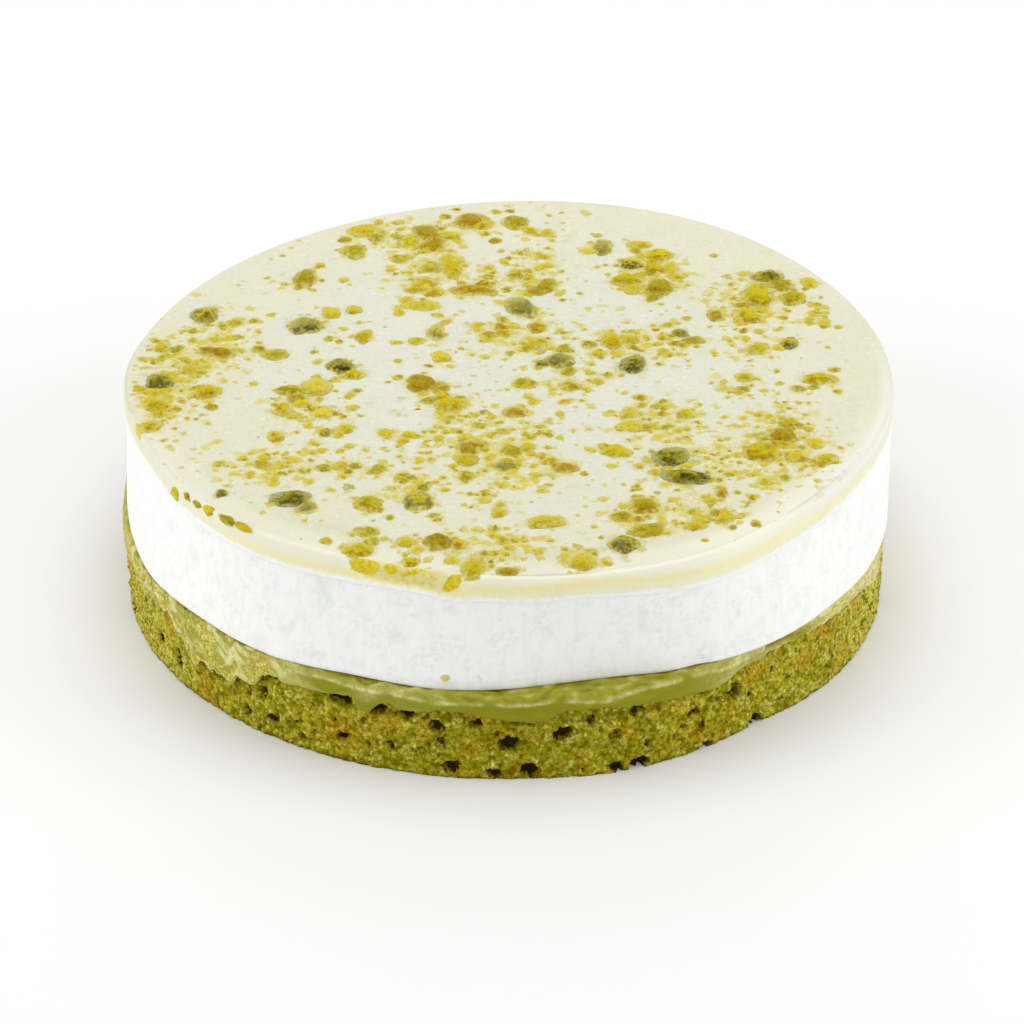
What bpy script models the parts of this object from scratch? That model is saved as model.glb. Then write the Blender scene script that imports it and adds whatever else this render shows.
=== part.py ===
"""A round pistachio semifreddo cake, 16 cm across and 46 mm tall, for Blender 4.5.

Four layers run right through it. From the bottom up they are a green pistachio sponge with open
pores, a thin pistachio cream that laps over the sponge's side, a white semifreddo, and a pale
glaze that holds broken pistachios. Units are metres and +Z is up. The origin is the centre of
the sponge's flat underside, and -Y is the front. Directions are in degrees from +X, turning
towards +Y, so -90 is the front.
"""

import math
import random

import bmesh
import bpy
from mathutils import Matrix, Vector, noise

MM = 0.001
PORE_SEED = 27
DRIFT_SEED = 5
SHAPE_SEED = 8

# Driving sizes.
SPONGE_RADIUS = 80.2 * MM
SPONGE_TOP = 16.5 * MM
CREAM_THICKNESS = 2.9 * MM
WHITE_RADIUS = 78.7 * MM
SEAM_HEIGHT = 41.0 * MM
GLAZE_RADIUS = 78.0 * MM
GLAZE_CENTRE = Vector((1.3 * MM, 0.5 * MM, 0.0))
GLAZE_TOP = 46.0 * MM
LAYER_GAP = 0.3 * MM
CREAM_UNDER = SPONGE_TOP + LAYER_GAP
CREAM_TOP = CREAM_UNDER + CREAM_THICKNESS
WHITE_UNDER = CREAM_TOP + LAYER_GAP

# Uneven outlines: direction and half width in degrees, and how far it stands out in mm.
SPONGE_BULGES = ((-50, 10, -1.3), (-73, 8, 0.6), (180, 15, -0.7), (70, 20, 0.5), (120, 14, -0.6))
WHITE_BULGES = (
    (-150, 14, 1.9), (-126, 12, 2.0), (-78, 12, -1.8), (-49, 16, 2.3), (-22, 12, 1.4),
    (-4, 12, 0.6), (75, 22, 0.8), (140, 18, -0.8),
)
GLAZE_BULGES = (
    (-178, 14, 1.7), (-133, 15, 2.0), (-112, 18, -1.2), (-62, 14, 2.2), (-8, 14, 0.4),
    (62, 25, 1.8), (128, 30, -1.7),
)
SEAM_WAVES = ((-105, 9, 1.2), (-60, 16, -1.3), (-150, 12, 0.5), (20, 15, -0.6), (100, 22, 0.7))

# The cream's lower edge: its usual height, and where it runs down or pulls up.
LIP_HEIGHT = 15.0 * MM
LIP_LIMIT = 16.3 * MM
LIP_DRIPS = (
    (-136, 4, -6.5), (-128, 4, -2.2), (-110, 3, -3.0), (-88, 6, -1.3), (-59, 5, -1.0),
    (-48, 3, 1.6), (-21, 4, -1.4), (24, 6, -1.8), (68, 5, -2.6), (112, 8, -1.2), (155, 5, -3.0),
)
LIP_RIPPLE = 0.7 * MM
LIP_RIPPLES = 9.0
LIP_THICKNESS = 0.5 * MM
LIP_ROUND = 0.2 * MM
CREAM_OVERHANG = 0.2 * MM
CREAM_BELLY = 0.1 * MM
RIDGE_DROP = 1.4 * MM
RIDGE_INSET = 0.6 * MM
CREAM_UNDER_WHITE = 2.5 * MM
CREAM_BULGES = ((-92, 38, 0.8), (-138, 8, 0.5), (-21, 5, 0.6), (60, 30, 0.6), (140, 25, 0.5))
RIDGE_LIFTS = ((-67, 7, 1.0), (-88, 6, 0.4), (85, 10, 0.8), (140, 9, 0.9))

# The sponge's open side.
SPONGE_ROUND = 230
SPONGE_ROWS = 8
CRUMB_GRAIN = 3.2 * MM
CRUMB_RELIEF = 0.8 * MM
BROAD_GRAIN = 11.0 * MM
BROAD_RELIEF = 0.5 * MM
LOOSE_EDGE = 0.7 * MM
SHOULDER_START = 12.4 * MM
SHOULDER_RISE = 2.0 * MM
SHOULDER_INSET = 0.8 * MM
SMALL_PORES = 70
SMALL_PORE_WIDTH = (2.2, 3.6)
SMALL_PORE_HEIGHT = (1.0, 12.5)
PORE_FLATNESS = 0.8
PORE_DEPTH = 0.75
# The largest pores: direction in degrees, then height, width and tallness in mm.
LARGE_PORES = (
    (-89, 8.3, 3.6, 3.2), (-82, 10.6, 3.2, 3.0), (-98, 11.7, 2.8, 2.4), (-97, 2.9, 2.8, 2.4),
    (-85, 2.2, 4.2, 2.7), (-145, 4.4, 2.6, 3.6), (-125, 4.5, 2.8, 2.2), (-56, 10.7, 4.0, 3.2),
    (-63, 9.5, 2.8, 2.2), (-51, 1.2, 3.2, 2.2), (-115, 12.5, 3.8, 2.2), (-69, 1.2, 3.5, 2.2),
)

# Rings of the other layers. Sections are in mm.
CREAM_ROUND = 150
UPPER_ROUND = 120
CORE_RADIUS = 62.0 * MM
# The white layer's side: in from the outline, up from its foot, and share of the way from the
# foot's outline to the glaze's.
WHITE_SECTION = ((1.6, 0.0, 0.0), (0.5, 0.4, 0.0), (0.0, 1.6, 0.05), (0.1, 7.5, 0.4), (0.2, 14.5, 0.8))
WHITE_INSET = 0.2 * MM
# The glaze's lower edge: in from its outline, and up from the seam.
GLAZE_EDGE = ((0.4, 0.3), (0.0, 0.9))
# The glaze's shoulder and fine raised rim: in from its outline, and height.
GLAZE_SHOULDER = ((0.1, 44.2), (0.7, 45.5), (1.8, 46.2), (3.2, 46.0))

# Broken pistachios on the glaze. The big ones: place, then size across and deep, in mm.
LARGE_PIECES = (
    (3.5, 28, 6, 8.5), (-7, 36, 9, 5), (32.5, -34.5, 6.5, 6.5), (36, -42, 8, 4),
    (-63.5, 24.5, 5, 6.5), (-60, 8.5, 7.5, 3.5), (-42, 20, 7, 6), (-34, 2.5, 5, 4.5),
    (-31, -1, 4, 3), (26, 3.5, 4.5, 7.5), (11, 5, 4.5, 6), (21, 56, 4, 6),
    (27, 47.5, 4, 3), (56, 42, 6, 4), (59, 38, 4, 5), (54, 33, 5, 8),
    (61, 32.5, 4, 5), (51, 24.5, 5, 6), (64.5, -2.5, 5.5, 5.5), (51, -32, 6, 7),
    (55.5, -26, 5, 5), (22, 13.5, 4, 5.5), (33, 52, 5, 5), (31.5, 46, 4.5, 4),
    (26, 40.5, 6, 4), (33, 37, 5, 5), (8.7, 38, 3.5, 5), (-12, 47, 4.5, 10),
    (-16, 57, 5, 6), (-17, 63, 4.5, 6), (-8, 68, 7, 6), (2, 67.5, 4.5, 5.5),
    (-31, 63.5, 5.5, 4.5), (-33, 53.5, 5, 6), (-43, 41, 4, 8), (-17.5, 29, 6, 4),
    (-43.5, -7.5, 6, 3.5), (-61, -8, 5, 4), (-70.5, -4, 5, 5), (-17.5, -4.5, 5, 6.5),
    (-11, -13, 5.5, 5), (-7, -31, 5, 5), (1.5, -31.5, 4.5, 4.5), (22, -32, 5, 4),
    (-42, -50.5, 6, 5), (-26.5, -52, 4.5, 5), (-17, -51, 5, 6), (-28, -69.5, 5, 5),
    (-12.5, -66, 5, 4), (27, -53, 5, 5), (28, -62, 8, 5), (22.5, -67, 5, 4.5),
    (14.5, -72, 5.5, 4), (8, -59, 6, 4), (-70.5, -14, 5, 4),
)
# The drifts of smaller ones: middle, half spread across and deep in mm, and how many are large.
DRIFTS = (
    (0, -31, 13, 19, 6), (-16, 56, 6, 9, 2), (7, 50, 6, 11, 4), (52, 33, 10, 11, 2),
    (55, -26, 9, 17, 4), (39, -39, 11, 10, 3), (33, -20, 9, 10, 3), (28, 13, 11, 9, 3),
    (51, 11, 7, 6, 2), (33, -55, 12, 5, 2), (-31, -39, 6, 6, 3), (-68, -3, 8, 20, 4),
    (-12, -14, 5, 6, 1), (15, -4, 6, 4, 2), (-38, -18, 8, 9, 3), (-60, 12, 7, 12, 2),
    (-18, 42, 6, 8, 2), (0, 42, 8, 6, 2), (31, 42, 7, 9, 1), (-18, -44, 5, 6, 2),
    (-3, -68, 12, 6, 2), (-47, -38, 10, 6, 2), (-25, 61, 7, 6, 1), (2, 15, 12, 9, 3),
)
DRIFT_SIZE = (2.2, 3.6)
DRIFT_SHAPE = (0.7, 1.1)
# Pieces cut flush in the glaze's side: direction, height, then size along and up, in mm.
EDGE_PIECES = (
    (-97, 43.9, 4.0, 3.4), (-109.5, 44.5, 5.0, 2.2), (-106, 44.5, 3.2, 2.2),
    (-163, 43.8, 5.0, 2.8),
)
EDGE_PIECE_DEPTH = 2.2
EDGE_PIECE_INSET = 0.7 * MM
PIECE_STANDS = (0.6 * MM, 1.3 * MM)
PIECE_STANDS_SHARE = 0.3
PIECE_THICKNESS = 2.4 * MM
PIECE_THICKNESS_SHARE = 0.55
PIECE_TURN = 0.3
PIECE_ROUGHNESS = (0.85, 1.12)
EDGE_MARGIN = 4.5 * MM
SHARP_EDGE = math.radians(38.0)

# Colours are linear.
SPONGE_COLOUR = (0.30, 0.22, 0.03)
CREAM_COLOUR = (0.34, 0.30, 0.07)
WHITE_COLOUR = (0.84, 0.84, 0.83)
GLAZE_COLOUR = (0.80, 0.80, 0.58)


def stood_out(waves, degrees):
    """How far an uneven outline stands out in one direction, in metres."""
    total = 0.0
    for middle, width, height in waves:
        turn = (degrees - middle + 180.0) % 360.0 - 180.0
        total += height * MM * math.exp(-((turn / width) ** 2))
    return total


def around(count):
    """Directions in degrees, evenly spaced round the cake."""
    return [360.0 * i / count - 180.0 for i in range(count)]


def at(degrees, radius, height, centre=Vector()):
    """A point by direction, radius and height."""
    angle = math.radians(degrees)
    return centre + Vector((radius * math.cos(angle), radius * math.sin(angle), height))


def sponge_radius(degrees):
    return SPONGE_RADIUS + stood_out(SPONGE_BULGES, degrees)


def shoulder(height):
    """How far the sponge's side is drawn in near its top, where the cream laps over it."""
    return SHOULDER_INSET * min(max((height - SHOULDER_START) / SHOULDER_RISE, 0.0), 1.0)


def white_foot(degrees):
    return WHITE_RADIUS + stood_out(WHITE_BULGES, degrees)


def glaze_radius(degrees):
    return GLAZE_RADIUS + stood_out(GLAZE_BULGES, degrees)


def seam_height(degrees):
    """Height of the wavy joint between the white layer and the glaze, at the cake's side."""
    return SEAM_HEIGHT + stood_out(SEAM_WAVES, degrees)


def lip_height(degrees):
    """Height of the cream's lower edge on the sponge's side."""
    ripple = noise.noise(at(degrees, LIP_RIPPLES, 1.0)) * LIP_RIPPLE
    return min(LIP_HEIGHT + stood_out(LIP_DRIPS, degrees) + ripple, LIP_LIMIT)


def finish(name, mesh_data, colour, roughness, underside):
    """Turn a bmesh into a named, smooth object with its own material, its origin underneath."""
    origin = Vector((0.0, 0.0, underside))
    bmesh.ops.translate(mesh_data, vec=-origin, verts=mesh_data.verts)
    bmesh.ops.recalc_face_normals(mesh_data, faces=mesh_data.faces)
    mesh = bpy.data.meshes.new(name)
    mesh_data.to_mesh(mesh)
    mesh_data.free()
    material = bpy.data.materials.new(name)
    material.use_nodes = True
    shader = material.node_tree.nodes["Principled BSDF"]
    shader.inputs["Base Color"].default_value = (*colour, 1.0)
    shader.inputs["Roughness"].default_value = roughness
    shader.inputs["Metallic"].default_value = 0.0
    mesh.materials.append(material)
    mesh.shade_smooth()
    mesh.set_sharp_from_angle(angle=SHARP_EDGE)
    layer = bpy.data.objects.new(name, mesh)
    layer.location = origin
    bpy.context.scene.collection.objects.link(layer)
    return layer


def lofted(rings):
    """A closed body through rings of equal count, with a flat cap on the first and the last."""
    body = bmesh.new()
    loops = [[body.verts.new(point) for point in ring] for ring in rings]
    for below, above in zip(loops, loops[1:]):
        for i, corner in enumerate(below):
            after = (i + 1) % len(below)
            body.faces.new((corner, below[after], above[after], above[i]))
    body.faces.new(reversed(loops[0]))
    body.faces.new(loops[-1])
    return body


def pore_list():
    """All pores in the sponge's side: the large ones, and small ones anywhere round it."""
    draw = random.Random(PORE_SEED)
    pores = list(LARGE_PORES)
    for _ in range(SMALL_PORES):
        width = draw.uniform(*SMALL_PORE_WIDTH)
        direction = draw.uniform(-180.0, 180.0)
        pores.append((direction, draw.uniform(*SMALL_PORE_HEIGHT), width, width * PORE_FLATNESS))
    return pores


def pore_depth(pores, degrees, height):
    """Depth of the pores at one spot of the sponge's side."""
    deepest = 0.0
    for middle, level, width, tall in pores:
        turn = (degrees - middle + 180.0) % 360.0 - 180.0
        along = math.radians(turn) * SPONGE_RADIUS / (width * MM)
        up = (height - level * MM) / (tall * MM)
        inside = max(0.0, 1.0 - 2.0 * (along * along + up * up))
        deepest = max(deepest, inside * width * MM * PORE_DEPTH)
    return deepest


def crumb_relief(degrees, height):
    """How far the crumb falls back from the sponge's outline, apart from its pores."""
    spot = at(degrees, SPONGE_RADIUS, height)
    fine = 0.5 + 0.5 * noise.noise(spot / CRUMB_GRAIN)
    broad = 0.5 - 0.5 * noise.noise(-spot / BROAD_GRAIN)
    return CRUMB_RELIEF * fine + BROAD_RELIEF * broad


def make_sponge():
    """The sponge: a disc with a flat underside, a crumbly side and open pores."""
    pores = pore_list()
    rings = []
    for row in range(SPONGE_ROWS + 1):
        height = SPONGE_TOP * row / SPONGE_ROWS
        drawn_in = shoulder(height) + (LOOSE_EDGE if row == 0 else 0.0)
        ring = []
        for degrees in around(SPONGE_ROUND):
            fallen = crumb_relief(degrees, height) + pore_depth(pores, degrees, height)
            ring.append(at(degrees, sponge_radius(degrees) - drawn_in - fallen, height))
        rings.append(ring)
    return finish("sponge_base", lofted(rings), SPONGE_COLOUR, 0.9, 0.0)


def cream_section(degrees):
    """The cream's section in one direction, from its underside round the lip to its top."""
    lip = lip_height(degrees)
    bend = max(lip + 2.0 * LIP_ROUND, SHOULDER_START + SHOULDER_RISE)
    ridge = CREAM_TOP + stood_out(RIDGE_LIFTS, degrees)
    side = sponge_radius(degrees) + LAYER_GAP
    outer = sponge_radius(degrees) + CREAM_OVERHANG + stood_out(CREAM_BULGES, degrees)
    edge = max(outer, side - shoulder(lip) + LIP_THICKNESS)
    crest = max(outer - RIDGE_INSET, min(white_foot(degrees) + LAYER_GAP, outer - CREAM_BELLY))
    return (
        (side - shoulder(CREAM_UNDER), CREAM_UNDER),
        (side - shoulder(bend), bend),
        (side - shoulder(lip), lip + LIP_ROUND),
        (edge - CREAM_BELLY, lip),
        (max(outer + CREAM_BELLY, edge), (lip + CREAM_UNDER) / 2.0),
        (outer, ridge - RIDGE_DROP),
        (crest, min(ridge, CREAM_TOP)),
        (white_foot(degrees) - CREAM_UNDER_WHITE, CREAM_TOP),
    )


def make_cream():
    """The pistachio cream: a disc on the sponge, with a wavy lip over the sponge's side."""
    directions = around(CREAM_ROUND)
    sections = [cream_section(degrees) for degrees in directions]
    rings = []
    for i in range(len(sections[0])):
        rings.append([at(degrees, *section[i]) for degrees, section in zip(directions, sections)])
    return finish("pistachio_cream", lofted(rings), CREAM_COLOUR, 0.45, CREAM_UNDER)


def side_ring(share, inset, height):
    """A ring of the white layer's side, at a share of the way from its foot to the glaze."""
    ring = []
    for degrees in around(UPPER_ROUND):
        foot = at(degrees, white_foot(degrees) - inset, height)
        top = at(degrees, glaze_radius(degrees) - inset, height, GLAZE_CENTRE)
        ring.append(foot.lerp(top, share))
    return ring


def seam_ring(inset, rise):
    """A ring that follows the seam: in from the glaze's outline, and up from the seam."""
    return [
        at(degrees, glaze_radius(degrees) - inset, seam_height(degrees) + rise, GLAZE_CENTRE)
        for degrees in around(UPPER_ROUND)
    ]


def core_ring(height):
    """A level circle inside the cake, within which the seam is flat."""
    return [at(degrees, CORE_RADIUS, height, GLAZE_CENTRE) for degrees in around(UPPER_ROUND)]


def make_white():
    """The white semifreddo: a thick disc with a rounded foot and a wavy top edge."""
    rings = []
    for inset, rise, share in WHITE_SECTION:
        rings.append(side_ring(share, inset * MM, WHITE_UNDER + rise * MM))
    rings.append(seam_ring(WHITE_INSET, 0.0))
    rings.append(core_ring(SEAM_HEIGHT))
    return finish("semifreddo_layer", lofted(rings), WHITE_COLOUR, 0.7, WHITE_UNDER)


def make_glaze():
    """The glaze, before its pistachios: a disc with a soft shoulder and a fine raised rim."""
    rings = [core_ring(SEAM_HEIGHT + LAYER_GAP)]
    for inset, rise in GLAZE_EDGE:
        rings.append(seam_ring(inset * MM, rise * MM))
    for inset, height in GLAZE_SHOULDER:
        ring = []
        for degrees in around(UPPER_ROUND):
            ring.append(at(degrees, glaze_radius(degrees) - inset * MM, height * MM, GLAZE_CENTRE))
        rings.append(ring)
    return finish("glaze_top", lofted(rings), GLAZE_COLOUR, 0.25, SEAM_HEIGHT + LAYER_GAP)


def drift_pieces():
    """The larger pieces of every drift, as place and size in mm, kept on the glaze's flat top."""
    draw = random.Random(DRIFT_SEED)
    centre = GLAZE_CENTRE / MM
    limit = (GLAZE_RADIUS - EDGE_MARGIN) / MM
    found = []
    for x, y, across, deep, count in DRIFTS:
        for _ in range(count):
            reach = Vector((draw.gauss(x, 0.5 * across), draw.gauss(y, 0.5 * deep), 0.0)) - centre
            place = centre + reach * min(1.0, limit / reach.length)
            size = draw.uniform(*DRIFT_SIZE)
            found.append((place.x, place.y, size, size * draw.uniform(*DRIFT_SHAPE)))
    return found


def nut_piece(draw, middle, size, turn):
    """A broken piece of nut: a lump of a few flat faces, as large as size, turned in plan."""
    lump = bmesh.new()
    bmesh.ops.create_icosphere(lump, subdivisions=1, radius=0.5)
    for corner in lump.verts:
        corner.co *= draw.uniform(*PIECE_ROUGHNESS)
    bmesh.ops.scale(lump, vec=size, verts=lump.verts)
    bmesh.ops.rotate(lump, matrix=Matrix.Rotation(turn, 3, "Z"), verts=lump.verts)
    bmesh.ops.translate(lump, vec=middle, verts=lump.verts)
    mesh = bpy.data.meshes.new("piece")
    lump.to_mesh(mesh)
    lump.free()
    return bpy.data.objects.new("piece", mesh)


def lying_piece(draw, x, y, across, deep):
    """A piece that lies in the glaze's top, half sunk."""
    thickness = min(PIECE_THICKNESS, PIECE_THICKNESS_SHARE * (across + deep))
    stands = min(draw.uniform(*PIECE_STANDS), PIECE_STANDS_SHARE * min(across, deep))
    middle = Vector((x, y, GLAZE_TOP + stands - thickness / 2.0))
    return nut_piece(draw, middle, (across, deep, thickness), draw.uniform(-PIECE_TURN, PIECE_TURN))


def edge_piece(draw, degrees, height, along, up):
    """A piece cut flush in the glaze's side."""
    middle = at(degrees, glaze_radius(degrees) - EDGE_PIECE_INSET, height * MM, GLAZE_CENTRE)
    size = Vector((EDGE_PIECE_DEPTH, along, up)) * MM
    return nut_piece(draw, middle, size, math.radians(degrees))


def scattered_pieces():
    """Every piece that is fused to the glaze: the big ones, the drifts, and the cut edge."""
    draw = random.Random(SHAPE_SEED)
    pieces = []
    for sizes in (*LARGE_PIECES, *drift_pieces()):
        pieces.append(lying_piece(draw, *(value * MM for value in sizes)))
    for sizes in EDGE_PIECES:
        pieces.append(edge_piece(draw, *sizes))
    return pieces


def fuse_pieces(glaze, pieces):
    """Join the pieces to the glaze with one Boolean union, and remove the loose ones."""
    group = bpy.data.collections.new("pieces")
    bpy.context.scene.collection.children.link(group)
    for piece in pieces:
        group.objects.link(piece)
    union = glaze.modifiers.new("pistachios", "BOOLEAN")
    union.operation = "UNION"
    union.operand_type = "COLLECTION"
    union.collection = group
    union.solver = "EXACT"
    bpy.context.view_layer.objects.active = glaze
    bpy.ops.object.modifier_apply(modifier=union.name)
    for piece in pieces:
        bpy.data.objects.remove(piece)
    bpy.data.collections.remove(group)


def main():
    """Clear the scene, make the four layers, and hang them on one empty."""
    for old in list(bpy.data.objects):
        bpy.data.objects.remove(old)
    cake = bpy.data.objects.new("semifreddo", None)
    bpy.context.scene.collection.objects.link(cake)
    glaze = make_glaze()
    fuse_pieces(glaze, scattered_pieces())
    for layer in (make_sponge(), make_cream(), make_white(), glaze):
        layer.parent = cake


main()
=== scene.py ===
"""The looks of a round pistachio semifreddo cake, built round its packed solids.

Every layer repeats the outline of its solid and adds what a solid leaves out: the sponge's open
crumb, the cream's folds, the foam of the white layer, the glaze's soft rim, and the broken
pistachios with their colours. Units are metres and +Z is up. Directions are in degrees from +X,
turning towards +Y, so -90 is the front.
"""

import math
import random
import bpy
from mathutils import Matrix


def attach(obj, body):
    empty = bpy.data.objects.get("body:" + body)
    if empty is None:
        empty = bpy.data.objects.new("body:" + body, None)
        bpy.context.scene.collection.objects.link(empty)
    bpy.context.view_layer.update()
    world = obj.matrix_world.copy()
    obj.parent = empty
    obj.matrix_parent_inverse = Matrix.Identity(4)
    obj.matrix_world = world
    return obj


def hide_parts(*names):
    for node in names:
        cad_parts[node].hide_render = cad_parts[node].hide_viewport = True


bl_info = {
    "name": "Semifreddo cake",
    "version": (1, 0, 0),
    "blender": (4, 5, 0),
    "location": "3D View > Sidebar > Semifreddo",
    "description": "Builds a round pistachio semifreddo cake, one layer at a time",
    "category": "Object",
}

import bpy
import numpy as np
from mathutils import Vector, noise

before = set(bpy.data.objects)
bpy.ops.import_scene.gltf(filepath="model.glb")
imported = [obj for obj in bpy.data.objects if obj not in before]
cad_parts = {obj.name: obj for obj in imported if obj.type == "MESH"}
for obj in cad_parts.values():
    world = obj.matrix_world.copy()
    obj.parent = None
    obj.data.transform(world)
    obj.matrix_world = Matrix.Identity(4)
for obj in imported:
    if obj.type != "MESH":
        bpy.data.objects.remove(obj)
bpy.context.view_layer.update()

MM = 0.001
BODY = "root"

# Layers: their radii and heights, as in their solids.
SPONGE_RADIUS = 80.2 * MM
SPONGE_TOP = 16.5 * MM
LAYER_GAP = 0.3 * MM
CREAM_UNDER = SPONGE_TOP + LAYER_GAP
CREAM_TOP = CREAM_UNDER + 2.9 * MM
WHITE_UNDER = CREAM_TOP + LAYER_GAP
WHITE_RADIUS = 78.7 * MM
SEAM_HEIGHT = 41.0 * MM
GLAZE_RADIUS = 78.0 * MM
GLAZE_MIDDLE = (1.3, 0.5)
GLAZE_CENTRE = np.array((*GLAZE_MIDDLE, 0.0)) * MM
GLAZE_TOP = 46.0 * MM

# Uneven outlines: direction and half width in degrees, and how far it stands out in mm.
SPONGE_BULGES = (
    (-50, 10, -1.3), (-73, 8, 0.6), (0, 16, -0.9), (180, 15, -0.7), (70, 20, 0.5), (120, 14, -0.6),
)
WHITE_BULGES = (
    (-150, 14, 1.9), (-126, 12, 2.0), (-78, 12, -1.8), (-49, 16, 2.3), (-22, 12, 1.4),
    (-4, 12, 0.6), (75, 22, 0.8), (140, 18, -0.8), (-99, 14, 0.8), (-29, 15, 0.9),
)
GLAZE_BULGES = (
    (-178, 14, 1.7), (-133, 15, 2.0), (-112, 18, -1.2), (-62, 14, 2.2), (-8, 14, 0.4),
    (62, 25, 1.8), (128, 30, -1.7),
)
SEAM_WAVES = ((-105, 9, 1.2), (-60, 16, -1.3), (-150, 12, 0.5), (20, 15, -0.6), (100, 22, 0.7))

# The sponge's crumb and pores.
SHOULDER_START = 12.4 * MM
SHOULDER_RISE = 2.0 * MM
SHOULDER_INSET = 0.8 * MM
LOOSE_EDGE = 0.35 * MM
CRUMB_GRAIN = 3.2 * MM
CRUMB_RELIEF = 0.8 * MM
BROAD_GRAIN = 11.0 * MM
BROAD_RELIEF = 0.5 * MM
# Its grains stray from where noise would put them, and small ones sit between the large.
STRAY = 0.9 * MM
STRAY_GRAIN = 1.3 * MM
SMALL_GRAIN = 0.42
PUFF = 0.70 * MM
CALM_PUFF = 0.15 * MM
SMALL_PUFF = 0.24 * MM
PUFF_LEVEL = 0.42
HOLE_GRAIN = 2.3 * MM
HOLE_DEPTH = 0.8 * MM
NICK_GRAIN = 0.9 * MM
NICK_DEPTH = 0.4 * MM
# Its pores: those that show are placed one by one, and small ones are scattered behind.
PORES_PLACED = (-150.0, -35.0)
PORE_SEED = 27
SMALL_PORES = 70
SMALL_PORE_WIDTH = (1.6, 3.0)
SMALL_PORE_HEIGHT = (1.0, 12.5)
PORE_FLATNESS = 0.8
PORE_DEPTH = 0.65
LARGE_PORES = (
    (-89.5, 7.9, 3.4, 3.2), (-82, 10.0, 2.9, 2.6), (-99.7, 11.4, 2.4, 2.2), (-97.3, 2.5, 2.4, 2.4),
    (-86.4, 2.0, 3.6, 2.2), (-91.6, 1.3, 2.4, 2.0), (-98.8, 7.9, 1.4, 2.4), (-74.3, 1.2, 3.0, 1.8),
    (-145.4, 5.2, 2.4, 3.6), (-125.6, 4.2, 2.8, 2.0), (-55, 10.2, 3.4, 3.0), (-50.8, 0.9, 3.4, 1.8),
    (-114, 13.6, 5.0, 1.5), (-108.5, 13.4, 4.0, 1.8), (-129.3, 8.6, 1.1, 2.6), (-126.6, 9.7, 1.8, 2.4),
    (-130, 3.6, 1.4, 2.4), (-113.5, 5.4, 2.6, 1.8), (-106.2, 5.6, 2.0, 1.4), (-62.6, 9.3, 2.0, 1.4),
    (-65.7, 5.2, 1.4, 1.4), (-69.5, 5.4, 1.8, 1.4), (-61.4, 4.4, 1.4, 1.2), (-70.9, 1.0, 3.6, 2.2),
    (-60.3, 0.5, 3.0, 1.2), (-44.6, 7.2, 1.6, 1.2), (-71.5, 13.2, 2.0, 1.4), (-78, 12.6, 1.6, 1.4),
    (-104, 13.4, 3.2, 1.6), (-94, 12.4, 2.0, 1.2),
)
SPONGE_COLUMNS = 1660
SPONGE_ROWS = 54
# Where the crumb is closer and softer: direction and half width.
CALM = (-22, 42)
# And where it is paler: direction, half width, and how strongly.
PALER_PLACES = ((-160, 20, 0.7), (-14, 20, 0.9), (-38, 12, 0.3))
# Loose crumbs: how many, their lowest, highest and likeliest height and their size in mm, and how pale
# they are.
CRUMB_SEED = 41
CRUMBS = 520
CRUMB_HEIGHTS = (0.3, 14.6, 6.0)
CRUMB_SIZES = (0.4, 1.0)
CRUMB_PALENESS = (0.1, 0.4, 0.6, 0.9)
# Toasted patches: direction in degrees, then height, half width and half height in mm.
TOASTED = (
    (-113.5, 6.6, 5, 4), (-105.6, 12, 2.5, 2.5), (-138.7, 2.5, 2.5, 4), (-148, 12, 2.5, 3),
    (-93.5, 13, 3, 1.6), (-95, 6.8, 2, 1.6), (-95.7, 1, 2.6, 1.6), (-90, 9.8, 2.4, 1.4),
    (-73, 9.5, 2.2, 2), (-61.7, 4.2, 2.2, 2), (-55.3, 6.8, 2, 1.5), (-50.5, 13, 3.6, 2.2),
    (-41, 9.4, 3.4, 2.2), (-36.5, 13.4, 2.4, 1.6), (-33.5, 12.3, 1.6, 1.6), (-31.6, 4, 2.4, 2.4),
    (-27.6, 12, 2, 2), (-19.9, 14.6, 3, 2), (-160, 13, 2, 2.4), (30, 9, 4, 3), (75, 6, 4, 3),
    (120, 11, 4, 3), (165, 7, 3, 3), (-171, 9, 4, 4),
)

# The cream's lip and ridge.
LIP_HEIGHT = 15.0 * MM
LIP_LIMIT = 16.3 * MM
LIP_DRIPS = ((24, 6, -1.8), (68, 5, -2.6), (112, 8, -1.2), (155, 5, -3.0))
# The lip round the front, and the crest of the cream's fold: direction, then height in mm.
LIP_LINE = (
    (-175, 15.2), (-160, 14.6), (-155, 13.9), (-151, 15.4), (-147, 15.8), (-143.5, 14.0), (-140.5, 10.0),
    (-137.5, 8.2), (-134, 8.8), (-131, 11.0), (-128, 12.4), (-124.5, 14.6), (-121, 15.2), (-116, 15.4),
    (-111.6, 16.2), (-110.4, 13.2), (-109.2, 13.0), (-107.4, 15.8), (-106, 16.4), (-104.6, 15.2),
    (-102.5, 15.3), (-99, 16.2), (-95.4, 16.0), (-92, 15.0), (-89, 14.3), (-86, 13.8), (-84, 14.3),
    (-82.2, 16.0), (-78.8, 16.6), (-75.3, 16.1), (-71.5, 15.5), (-69, 15.0), (-66, 14.9), (-62, 14.3),
    (-59, 13.8), (-57, 14.4), (-55, 15.6), (-52.5, 16.2), (-50, 15.6), (-49.2, 16.3), (-46, 16.3),
    (-43, 16.3), (-37, 16.0), (-32, 15.7), (-27, 15.2), (-24, 14.6), (-21, 13.8), (-18, 15.0),
    (-12, 15.6), (-5, 15.2),
)
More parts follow.
